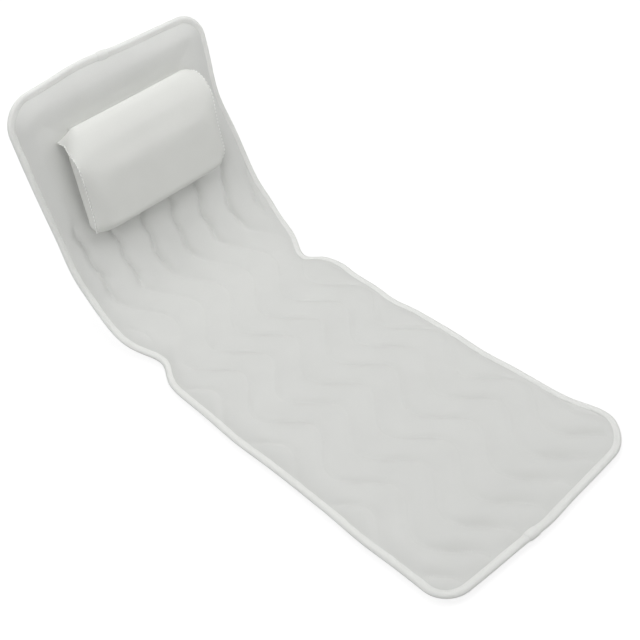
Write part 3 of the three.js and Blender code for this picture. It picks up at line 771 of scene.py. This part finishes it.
def through(points, count):
    """Points evenly spaced on a smooth curve through the given ones."""
    p = np.concatenate([[2 * points[0] - points[1]], points, [2 * points[-1] - points[-2]]])
    t = np.linspace(0.0, 1.0, CURVE_PARTS + 1)[:-1, None]
    spans = []
    for a, b, c, d in zip(p, p[1:], p[2:], p[3:]):
        spans.append(b + 0.5 * t * (c - a + t * (2 * a - 5 * b + 4 * c - d + t * (3 * (b - c) + d - a))))
    line = np.concatenate([*spans, p[-2:-1]])
    return at_stops(line, np.linspace(0.0, travel(line)[-1], count))


def pillow_outline(share):
    """The pillow's side view at a share of its half width, in millimetres: its front, then its back."""
    to_end = max((abs(share) - 1.0 + END_REACH) / END_REACH, 0.0) ** END_EASE
    end = np.array(PILLOW_LEFT if share < 0 else PILLOW_RIGHT)
    shape = np.array(PILLOW_MIDDLE) * (1.0 - to_end) + end * to_end
    front = through(shape * np.array([PILLOW_HEIGHT, PILLOW_DEPTH]), PILLOW_ROUND + 1)
    down = np.linspace(PILLOW_HEIGHT, 0.0, PILLOW_ROUND + 1)[1:-1]
    return np.concatenate([front, np.stack([down, np.zeros_like(down)], -1)])


def pillow_place(share, rise, depth):
    """The ends belly out over the mat: the left one mostly low down, the right one near its top."""
    left = bump(depth, *LEFT_BELLY) * np.interp(rise, LEFT_RISE, LEFT_OUT)
    out, by_depth, by_rise = RIGHT_BELLY
    right = out * bump(depth, *by_depth) * bump(rise, *by_rise) - RIGHT_IN
    right = right - RIGHT_FOOT_IN * (1.0 - smooth(rise / RIGHT_FOOT))
    tuck = END_TUCK * (1.0 - smooth(depth / TUCK_REACH)) * smooth((PILLOW_HEIGHT - rise) / TUCK_REACH)
    belly = np.abs(share) ** BELLY_POWER * (np.where(share < 0, left, right) - tuck)
    u = PILLOW_SHIFT + share * PILLOW_WIDTH / 2 + np.sign(share) * belly
    standoff = CLEARANCE + PILLOW_STANDOFF * (1.0 - rise / PILLOW_HEIGHT)
    return place(u, PILLOW_BOTTOM + rise, HEAD_TOP + standoff + depth)


def gusset_faces(sheet, low, high):
    """Faces over a gusset's rows of points, with its low and high corners."""
    quads = np.stack([sheet[:-1, :-1], sheet[:-1, 1:], sheet[1:, 1:], sheet[1:, :-1]], -1)
    faces = quads.reshape(-1, 4).tolist()
    faces += [[low, sheet[k, 0], sheet[k + 1, 0]] for k in range(GUSSET_STEPS)]
    faces += [[high, sheet[k + 1, -1], sheet[k, -1]] for k in range(GUSSET_STEPS)]
    return faces


def gusset(loop, share, first, count):
    """Inner points, UVs and faces of the gusset that fills a loop, whose own points start at a number."""
    front = np.arange(1, PILLOW_ROUND)
    back = len(loop) - front
    points, uv, numbers = [], [], [first + front]
    for step in range(1, GUSSET_STEPS):
        mix = step / GUSSET_STEPS
        line = loop[front] * (1 - mix) + loop[back] * mix
        points.append(pillow_place(np.full(len(line), share), *line.T))
        uv.append(line * MM + [GUSSET_UV_SHIFT, 0.0])
        numbers.append(count + (step - 1) * len(line) + np.arange(len(line)))
    numbers.append(first + back)
    faces = gusset_faces(np.array(numbers), first, first + PILLOW_ROUND)
    return np.concatenate(points), np.concatenate(uv), faces


def pillow_mesh():
    """Points, faces, UVs and the numbers of the seam and back points of the closed pillow."""
    even = np.linspace(-1.0, 1.0, PILLOW_ACROSS + 1)
    shares = (even + np.sin(even * math.pi / 2)) / 2
    loops = np.array([pillow_outline(share) for share in shares])
    rows, columns = loops.shape[:2]
    across = np.repeat(shares[:, None], columns, 1)
    round_it = np.array([travel(loop) for loop in loops])
    points = [pillow_place(across, loops[..., 0], loops[..., 1]).reshape(-1, 3)]
    uvs = [uv_pairs(across * PILLOW_WIDTH / 2, round_it).reshape(-1, 2)]
    faces = grid_faces(rows, columns, close=True)
    for row, turn in ((0, 1), (rows - 1, -1)):
        more, uv, sheet = gusset(loops[row], shares[row], row * columns, sum(map(len, points)))
        points.append(more)
        uvs.append(uv)
        faces += [face[::turn] for face in sheet]
    seam = np.arange(PILLOW_ROUND + 1)
    numbers = np.arange(rows * columns).reshape(rows, columns)
    behind = np.concatenate([numbers[:, PILLOW_ROUND:].ravel(), numbers[:, 0]])
    return np.concatenate(points), faces, np.concatenate(uvs), [seam, (rows - 1) * columns + seam], behind


def plump(piece, pinned):
    """Swells the cloth by simulation, keeping the pinned points. The swelling is scaled down to the cap."""
    before = np.array([v.co for v in piece.data.vertices])
    group = piece.vertex_groups.new(name="sewn")
    group.add([int(i) for i in pinned], 1.0, "REPLACE")
    simulation = piece.modifiers.new("plump", "CLOTH")
    for key, value in PILLOW_CLOTH.items():
        setattr(simulation.settings, key, value)
    simulation.settings.vertex_group_mass = group.name
    simulation.settings.effector_weights.gravity = 0.0
    simulation.collision_settings.use_collision = False
    scene = bpy.context.scene
    for number in range(1, PILLOW_FRAMES + 1):
        scene.frame_set(number)
    evaluated = piece.evaluated_get(bpy.context.evaluated_depsgraph_get())
    move = np.array([v.co for v in evaluated.data.vertices]) - before
    move = move * min(1.0, PILLOW_CAP / np.linalg.norm(move, axis=1).max())
    piece.modifiers.remove(simulation)
    piece.vertex_groups.remove(group)
    scene.frame_set(1)
    piece.data.vertices.foreach_set("co", (before + move).ravel())
    piece.data.update()


def subdivided(piece):
    smoothing = piece.modifiers.new("round", "SUBSURF")
    smoothing.levels = smoothing.render_levels = 1
    evaluated = piece.evaluated_get(bpy.context.evaluated_depsgraph_get())
    mesh = bpy.data.meshes.new_from_object(evaluated)
    piece.modifiers.remove(smoothing)
    piece.data = mesh


def zigzag(line, normals, step, width):
    """Stitch centres, directions and normals that go to and fro over a seam line."""
    stops = np.arange(step, travel(line)[-1] - step, step)
    here, up = at_stops(line, stops), unit(at_stops(line, stops, normals))
    along = unit(np.gradient(here, axis=0))
    across = unit(np.cross(up, along))
    sign = np.where(np.arange(len(stops)) % 2, 1.0, -1.0)[:, None]
    return here, along * step * 0.5 + across * sign * width * 0.5, up


def head_pillow(looks):
    points, faces, uv, seams, back = pillow_mesh()
    piece = make_piece("head_pillow", points, faces, [looks["pillow"]], uv)
    plump(piece, np.unique(np.concatenate([*seams, back])))
    shaped = np.array([v.co for v in piece.data.vertices])
    normals = np.array([v.normal for v in piece.data.vertices])
    subdivided(piece)
    parts = Parts()
    length = math.hypot(OVERLOCK_PITCH, OVERLOCK_WIDTH)
    for seam in seams:
        seam = seam[OVERLOCK_INSET:-OVERLOCK_INSET]
        centres, along, up = zigzag(shaped[seam], normals[seam], OVERLOCK_PITCH * MM, OVERLOCK_WIDTH * MM)
        add_stitches(parts, centres + up * OVERLOCK_LIFT * MM, along, up, length, OVERLOCK_RADIUS, 0)
    return piece, parts.make("head_pillow_overlock", [looks["overlock"]])


# Strips: the tape above the pillow's seam, and the webbing that holds the cups

# Across a tape: places as shares of its width, and what share of its thickness its face reaches there
STRIP_ACROSS = np.array([-0.5, -0.48, -0.44, -0.3, -0.1, 0.1, 0.3, 0.44, 0.48, 0.5])
STRIP_EDGE = np.array([0.5, 0.8, 1.0, 1.0, 1.0, 1.0, 1.0, 1.0, 0.8, 0.5])
STRIP_STEP = 6.0
STRIP_SEAM = 2.5
STRIP_SEAM_ENDS = 4.0
EYELET_RADIUS = 5.0
EYELET_STITCHES = 24
EYELET_STITCH = 3.4
EYELET_THREAD = 0.45
SEAM_TAPE_START = PILLOW_BOTTOM + PILLOW_HEIGHT + 4.0
SEAM_TAPE_WIDTH = 10.0
SEAM_TAPE_LENGTH = PILLOW_WIDTH - 60.0
SEAM_TAPE_THICKNESS = 1.0


def add_strip_seam(parts, locate, length, across):
    """A row of stitches along the face of a tape that shows, where the height is 0."""
    ends = length / 2 - STRIP_SEAM_ENDS
    stops = np.arange(-ends, ends, BINDING_STITCH_PITCH)
    back, front = (locate(stops + shift, across, 0.0) for shift in (-NUDGE, NUDGE))
    centres = (back + front) / 2
    out = unit(locate(stops, across, -1.0) - centres)
    add_stitches(parts, centres, front - back, out, BINDING_STITCH, THREAD_RADIUS, 1)


def add_eyelet(parts, locate, hole):
    """Stitches all round a buttonhole."""
    angle = np.arange(EYELET_STITCHES) * 2.0 * math.pi / EYELET_STITCHES
    ring = hole + EYELET_RADIUS * np.cos(angle), EYELET_RADIUS * np.sin(angle)
    rim = locate(*ring, 0.0)
    out = unit(locate(*ring, -1.0) - rim)
    add_stitches(parts, rim, locate(hole, 0.0, 0.0) - rim, out, EYELET_STITCH, EYELET_THREAD, 1)


def strip(name, locate, width, length, thickness, materials, holes=()):
    """A flat tape with rounded edges: locate turns along, across and height in mm into metres."""
    over = np.stack([STRIP_ACROSS * width, STRIP_EDGE * thickness], -1)
    under = np.stack([STRIP_ACROSS * width, (1 - STRIP_EDGE) * thickness], -1)[::-1]
    across, height = np.concatenate([over, under]).T[:, None, :]
    along = np.linspace(-length / 2, length / 2, max(int(length / STRIP_STEP), 2))[:, None]
    points = locate(along, across, height)
    faces, normals = tube(points)
    parts = Parts()
    parts.add(points, faces, uv_pairs(along, across), normals, 0)
    for sign in (-1.0, 1.0):
        add_strip_seam(parts, locate, length, sign * (width / 2 - STRIP_SEAM))
    for hole in holes:
        add_eyelet(parts, locate, hole)
    return parts.make(name, materials)


def seam_tape(looks):
    middle = SEAM_TAPE_START + SEAM_TAPE_WIDTH / 2
    top = HEAD_TOP + CLEARANCE + SEAM_TAPE_THICKNESS
    materials = [looks["quilt"], looks["quilt_thread"]]

    def locate(along, across, height):
        return place(along + PILLOW_SHIFT, middle - across, top - height)

    return strip(
        "pillow_seam_tape_sewn", locate, SEAM_TAPE_WIDTH, SEAM_TAPE_LENGTH, SEAM_TAPE_THICKNESS, materials
    )


# Suction cups in their webbing

CUP_STAND = 10.6
TAPE_THICKNESS = 2.6
TAPE_WIDTH = 30.0
TAPE_OVERHANG = 26.0
THREE_CUPS = (-120.0, 0.0, 120.0)
TWO_CUPS = (-110.0, 110.0)
# Rows of cups: body, number on that body, place along the mat, places across it
CUP_ROWS = [
    ("leg", 1, -612.0, THREE_CUPS),
    ("leg", 2, -435.0, THREE_CUPS),
    ("seat", 1, -285.0, THREE_CUPS),
    ("seat", 2, -75.0, THREE_CUPS),
    ("lower_back", 1, 62.5, TWO_CUPS),
    ("upper_back", 1, 180.0, TWO_CUPS),
    ("head", 1, 400.0, TWO_CUPS),
]
# A cup's side view from the middle of its hollow over the lip to its button: radius, height
CUP_PROFILE = [
    (0.0, 4.6), (4.0, 4.5), (9.0, 3.6), (13.5, 1.8), (16.6, 0.35), (17.8, 0.05), (19.0, 0.0), (19.8, 0.3),
    (20.0, 0.8), (19.4, 1.4), (17.6, 2.5), (14.6, 4.1), (12.4, 5.0), (11.6, 5.5), (8.4, 6.3), (4.6, 7.1),
    (3.3, 7.5), (3.0, 8.0), (3.0, 8.7), (3.2, 8.9), (5.0, 8.95), (5.5, 9.3), (5.4, 9.8), (4.8, 10.0),
    (0.0, 10.05),
]
CUP_SIDES = 40


def cup_place(s, base):
    """Turns a cup row's own coordinates, across, along and up from a base height, into metres."""
    angle = float(lean(np.array(s)))
    cos, sin = math.cos(angle), math.sin(angle)
    turn = np.array([[1, 0, 0], [0, cos, -sin], [0, sin, cos]])
    foot = place(0.0, s, -CUP_STAND)

    def locate(x, y, z):
        local = np.stack(np.broadcast_arrays(x, y, base + z), -1) * MM
        return local @ turn.T + foot

    return locate


def suction_cup(name, locate, u, looks):
    profile = np.array(CUP_PROFILE)
    angle = np.arange(CUP_SIDES) * 2.0 * math.pi / CUP_SIDES
    radius, height = profile[1:-1, :1], profile[1:-1, 1:]
    x, y = u + radius * np.cos(angle), radius * np.sin(angle)
    points = locate(x, y, height)
    tips = locate(u, 0.0, profile[[0, -1], 1])
    rows, columns = points.shape[:2]
    hollow, button = rows * columns, rows * columns + 1
    last = (rows - 1) * columns
    faces = [face[::-1] for face in grid_faces(rows, columns, close=True)]
    for j in range(columns):
        k = (j + 1) % columns
        faces += [[j, k, hollow], [last + k, last + j, button]]
    uv = np.concatenate([uv_pairs(x, y).reshape(-1, 2), np.zeros((2, 2))])
    return make_piece(name, np.concatenate([points.reshape(-1, 3), tips]), faces, [looks["cup"]], uv)


def dress(piece, body, slot, *nodes):
    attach(piece, body)
    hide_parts(*nodes)


def cups_and_tapes(looks):
    materials = [looks["webbing"], looks["thread"]]
    for body, row, s, places in CUP_ROWS:
        length = 2.0 * max(places) + 2.0 * TAPE_OVERHANG
        on_tape = cup_place(s, CUP_STAND - CLEARANCE - TAPE_THICKNESS)
        tape = strip(f"webbing_{body}_{row}", on_tape, TAPE_WIDTH, length, TAPE_THICKNESS, materials, places)
        dress(tape, body, "webbing", f"{body}_cup_tape_{row}")
        for i, u in enumerate(places):
            number = (row - 1) * len(places) + i + 1
            cup = suction_cup(f"vinyl_cup_{body}_{number}", cup_place(s, 0.0), u, looks)
            dress(cup, body, "cup", f"{body}_suction_cup_{number}")


# Materials

VINYL_COLOURS = ((0.66, 0.71, 0.72, 1.0), (0.78, 0.82, 0.83, 1.0))
THREAD_FLECK = 0.06


class Nodes:
    """The node tree of a material or world, built node by node."""

    def __init__(self, owner):
        owner.use_nodes = True
        self.owner = owner
        self.tree = owner.node_tree
        self.tree.nodes.clear()

    def add(self, kind, inputs=None, **settings):
        node = self.tree.nodes.new(kind)
        for key, value in settings.items():
            setattr(node, key, value)
        for key, value in (inputs or {}).items():
            if isinstance(value, bpy.types.NodeSocket):
                self.tree.links.new(value, node.inputs[key])
            else:
                node.inputs[key].default_value = value
        return node

    def math(self, operation, *values):
        return self.add("ShaderNodeMath", dict(enumerate(values)), operation=operation).outputs[0]

    def noise(self, vector, scale, detail, roughness=0.5, dimensions="2D"):
        inputs = {"Vector": vector, "Scale": scale, "Detail": detail, "Roughness": roughness}
        return self.add("ShaderNodeTexNoise", inputs, noise_dimensions=dimensions).outputs[0]

    def colour(self, factor, first, second):
        inputs = {"Factor": factor, "A": first, "B": second}
        return self.add("ShaderNodeMix", inputs, data_type="RGBA").outputs["Result"]

    def bumps(self, height, depth, strength, invert=False):
        inputs = {"Height": height, "Distance": depth * MM, "Strength": strength}
        return self.add("ShaderNodeBump", inputs, invert=invert).outputs[0]

    def surface(self, colour, roughness, normal, constants):
        inputs = {"Base Color": colour, "Roughness": roughness, "Normal": normal, **constants}
        return self.finish(self.add("ShaderNodeBsdfPrincipled", inputs), "ShaderNodeOutputMaterial")

    def finish(self, shader, output):
        self.add(output, {"Surface": shader.outputs[0]})
        return self.owner


def shade(grey, yellow=0.02):
    """A near-white colour in linear light, with its blue held back a little."""
    return (grey, 1.008 * grey, (1.0 - yellow) * grey, 1.0)


def cloth(name, colour, groove_shade_and_fleck, weave, depth, roughness, sheen):
    """Fabric with a fine looped weave: its pitch along and across, and its depth, in mm."""
    n = Nodes(bpy.data.materials.new(name))
    uv = n.add("ShaderNodeUVMap", uv_map="cloth").outputs[0]
    pitch = (1.0 / (weave[0] * MM), 1.0 / (weave[1] * MM), 1.0)
    scaled = n.add("ShaderNodeVectorMath", {0: uv, 1: pitch}, operation="MULTIPLY").outputs[0]
    voronoi = {"Vector": scaled, "Scale": 1.0, "Randomness": 0.35}
    loops = n.add("ShaderNodeTexVoronoi", voronoi, voronoi_dimensions="2D", feature="SMOOTH_F1")
    loops = loops.outputs["Distance"]
    fuzz = n.noise(scaled, 0.9, 3.0, 0.6)
    broad = n.noise(uv, 14.0, 2.0)
    height = n.math("MULTIPLY_ADD", loops, 0.75, n.math("MULTIPLY", fuzz, 0.5))
    # Painted shade: the cloth takes its darker colour in the sunk grooves between its loops, and also in
    # broad random patches.
    groove_shade_and_tone = n.math("MULTIPLY_ADD", loops, 0.55, n.math("MULTIPLY", broad, 0.5))
    gloss = n.math("MULTIPLY_ADD", fuzz, 0.12, roughness)
    constants = {"Sheen Weight": sheen, "Sheen Roughness": 0.5, "Specular IOR Level": 0.25}
    return n.surface(n.colour(groove_shade_and_tone, colour, groove_shade_and_fleck), gloss, n.bumps(height, depth, 0.8, True), constants)


def ribbed(name, colour, groove_shade_and_fleck, pitch, depth, roughness, angle):
    """Woven tape with ribs at an angle to its width."""
    n = Nodes(bpy.data.materials.new(name))
    uv = n.add("ShaderNodeUVMap", uv_map="cloth").outputs[0]
    rotation = (0.0, 0.0, math.radians(angle))
    turned = n.add("ShaderNodeMapping", {"Vector": uv, "Rotation": rotation}).outputs[0]
    bands = {"Vector": turned, "Scale": 0.5 / (pitch * MM), "Distortion": 0.6, "Detail": 1.0}
    ribs = n.add("ShaderNodeTexWave", bands, wave_type="BANDS", bands_direction="X").outputs[1]
    fuzz = n.noise(uv, 900.0, 2.0)
    height = n.math("MULTIPLY_ADD", fuzz, 0.35, ribs)
    gloss = n.math("MULTIPLY_ADD", fuzz, 0.15, roughness)
    normal = n.bumps(height, depth, 0.7)
    # Painted shade: the tape takes its darker colour low in the valleys between its ribs, and a little at
    # random with the fuzz.
    return n.surface(n.colour(height, groove_shade_and_fleck, colour), gloss, normal, {"Sheen Weight": 0.1})


def grained(name, grain, colours, roughness, relief_map, constants):
    """A grain in the piece itself: its scale and detail, two colours, and its depth in mm and strength."""
    n = Nodes(bpy.data.materials.new(name))
    where = n.add("ShaderNodeTexCoord").outputs["Object"]
    noise = n.noise(where, *grain, dimensions="3D")
    gloss = n.math("MULTIPLY_ADD", noise, 0.2, roughness)
    return n.surface(n.colour(noise, *colours), gloss, n.bumps(noise, *relief_map), constants)


def thread_look(name, grey):
    colours = shade(grey - THREAD_FLECK), shade(grey + THREAD_FLECK)
    return grained(name, (1400.0, 1.0), colours, 0.45, (0.1, 0.6), {})


def vinyl_look():
    clear = {"Transmission Weight": 0.55, "IOR": 1.5}
    return grained("cup_vinyl", (160.0, 3.0), VINYL_COLOURS, 0.12, (0.05, 0.4), clear)


def make_looks():
    return {
        "quilt": cloth("quilted_cloth", shade(0.72), shade(0.645), (2.0, 1.7), 0.22, 0.82, 0.15),
        "pillow": cloth("pillow_cloth", shade(0.765, 0.03), shade(0.695, 0.03), (1.5, 1.5), 0.12, 0.8, 0.02),
        "backing": cloth("backing_cloth", shade(0.66), shade(0.55), (1.3, 1.3), 0.2, 0.88, 0.05),
        "binding": ribbed("binding_tape", shade(0.86), shade(0.76), 1.3, 0.16, 0.7, 0.0),
        "webbing": ribbed("webbing_tape", shade(0.7), shade(0.56), 2.2, 0.35, 0.72, 45.0),
        # The quilting thread is a little darker than the quilted cloth: painted shade in the valleys that its
        # stitches sink into.
        "quilt_thread": thread_look("quilt_thread", 0.66),
        "thread": thread_look("seam_thread", 0.84),
        "overlock": thread_look("overlock_thread", 0.92),
        "cup": vinyl_look(),
    }


# The dressed part

# Overlaps of the binding: name, end of the mat, place across it, body
JOINS = [("foot", -1, -33.0, "leg"), ("head", 1, 0.0, "head")]


def mat_pieces(looks):
    for number, (_, first, second, start, end) in enumerate(SEGMENTS):
        bend = [tuple(place(0.0, s, 0.0)) for s in (start, end)]
        quilt = padded_segment(number, looks)
        backing, area = backing_segment(number, looks)
        binding, length = binding_segment(number, looks)
        for piece, slot in ((quilt, "quilted_cloth"), (backing, "backing"), (binding, "binding")):
            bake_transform(piece)
        for section in SEGMENT_SECTIONS[number]:
            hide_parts(f"{section}_cover", f"{section}_wadding")
            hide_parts(f"{section}_backing")
        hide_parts(*SEGMENT_BINDINGS[number])


def trim_pieces(looks):
    for name, end, offset, body in JOINS:
        join = binding_join(f"{name}_binding_overlap", end, offset, looks)
        dress(join, body, "binding", f"{name}_binding_join")
    pillow, overlock = head_pillow(looks)
    dress(
        pillow, "pillow", "pillow_cloth",
        "pillow_cover", "pillow_gusset_left", "pillow_gusset_right", "pillow_back", "pillow_fill",
    )
    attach(overlock, "pillow")
    tape = seam_tape(looks)
    dress(tape, "head", "webbing", "pillow_seam_tape")


# Light, floor and camera

FLOOR_SIZE = 12.0
FLOOR_GREY = (0.62, 0.62, 0.62, 1.0)
SHADOW_GREY = (0.3, 0.3, 0.3, 1.0)
FLOOR_GLOW = 0.8
WHITE = (1.0, 1.0, 1.0, 1.0)
AMBIENT = 0.25
LAMP_TARGET = (0.0, 0.15, 0.15)
LAMP_UP = (0.0, 1.0, 0.001)
# Lamps: name, position, size, power
LAMPS = [
    ("overhead", (0.0, -0.1, 1.4), 0.9, 4.9),
    ("right", (1.9, -0.8, 1.7), 1.5, 14.5),
    ("left", (-1.9, -0.8, 1.7), 1.5, 12.0),
    ("front", (0.0, -2.6, 0.8), 1.5, 6.5),
    ("behind_left", (-1.2, 0.65, 1.9), 1.2, 8.6),
    ("behind_right", (1.2, 0.65, 1.9), 1.2, 7.2),
    ("back", (0.0, 2.6, 0.9), 1.5, 14.0),
]
CAMERA_AZIMUTH = -35.7325
CAMERA_ELEVATION = 41.2159
CAMERA_ROLL = -9.7705
CAMERA_DISTANCE = 1.7366
CAMERA_TARGET = (0.0064, -0.0052, 0.116)
FOCAL_PIXELS = 1101.75
IMAGE_SIZE = 640
SENSOR = 36.0


def floor():
    """Paper: pale to the eye, in a mirror and through a clear piece, and grey as a source of light."""
    n = Nodes(bpy.data.materials.new("floor_paper"))
    path = n.add("ShaderNodeLightPath").outputs
    shown = n.math("MAXIMUM", path["Is Camera Ray"], path["Is Glossy Ray"])
    shown = n.math("MAXIMUM", shown, path["Is Transmission Ray"])
    diffuse = n.add("ShaderNodeBsdfDiffuse", {"Color": FLOOR_GREY}).outputs[0]
    shadow = n.add("ShaderNodeBsdfDiffuse", {"Color": SHADOW_GREY}).outputs[0]
    glow = n.add("ShaderNodeEmission", {"Strength": FLOOR_GLOW}).outputs[0]
    pale = n.add("ShaderNodeAddShader", {0: shadow, 1: glow}).outputs[0]
    mixed = n.add("ShaderNodeMixShader", {0: shown, 1: diffuse, 2: pale})
    material = n.finish(mixed, "ShaderNodeOutputMaterial")
    corners = np.array([(-1, -1, 0), (1, -1, 0), (1, 1, 0), (-1, 1, 0)]) * FLOOR_SIZE / 2
    make_piece("floor", corners, [[0, 1, 2, 3]], [material])


def sky():
    """White to the eye and through clear pieces, and a weak light all round."""
    world = bpy.data.worlds.new("studio")
    bpy.context.scene.world = world
    n = Nodes(world)
    path = n.add("ShaderNodeLightPath").outputs
    shown = n.math("MAXIMUM", path["Is Camera Ray"], path["Is Transmission Ray"])
    strength = n.add("ShaderNodeMix", {"Factor": shown, "A": AMBIENT, "B": 1.0}).outputs["Result"]
    n.finish(n.add("ShaderNodeBackground", {"Color": WHITE, "Strength": strength}), "ShaderNodeOutputWorld")


def stand(name, data, axes, position):
    """Links a lamp or camera whose right, up and back directions and position are given."""
    piece = bpy.data.objects.new(name, data)
    bpy.context.scene.collection.objects.link(piece)
    rows = [[*row, p] for row, p in zip(np.stack(axes, 1), position)]
    piece.matrix_world = Matrix(rows + [[0, 0, 0, 1]])
    return piece


def lamp(name, position, size, power):
    data = bpy.data.lights.new(name, "AREA")
    data.shape = "DISK"
    data.size = size
    data.energy = power
    back = unit(np.array(position) - np.array(LAMP_TARGET))
    side = unit(np.cross(LAMP_UP, back))
    stand(name, data, [side, np.cross(back, side), back], position).visible_camera = False


def camera():
    azimuth, elevation, roll = (math.radians(x) for x in (CAMERA_AZIMUTH, CAMERA_ELEVATION, CAMERA_ROLL))
    flat = math.cos(elevation)
    back = np.array([math.sin(azimuth) * flat, -math.cos(azimuth) * flat, math.sin(elevation)])
    right = unit(np.cross(-back, (0.0, 0.0, 1.0)))
    up = np.cross(right, -back)
    turned = [right * math.cos(roll) + up * math.sin(roll), up * math.cos(roll) - right * math.sin(roll)]
    data = bpy.data.cameras.new("camera")
    data.sensor_width = SENSOR
    data.lens = FOCAL_PIXELS * SENSOR / IMAGE_SIZE
    position = np.array(CAMERA_TARGET) + back * CAMERA_DISTANCE
    bpy.context.scene.camera = stand("camera", data, [*turned, back], position)


camera()
floor()
sky()
for settings in LAMPS:
    lamp(*settings)
bpy.context.scene.view_settings.view_transform = "Standard"

looks = make_looks()
mat_pieces(looks)
trim_pieces(looks)
cups_and_tapes(looks)
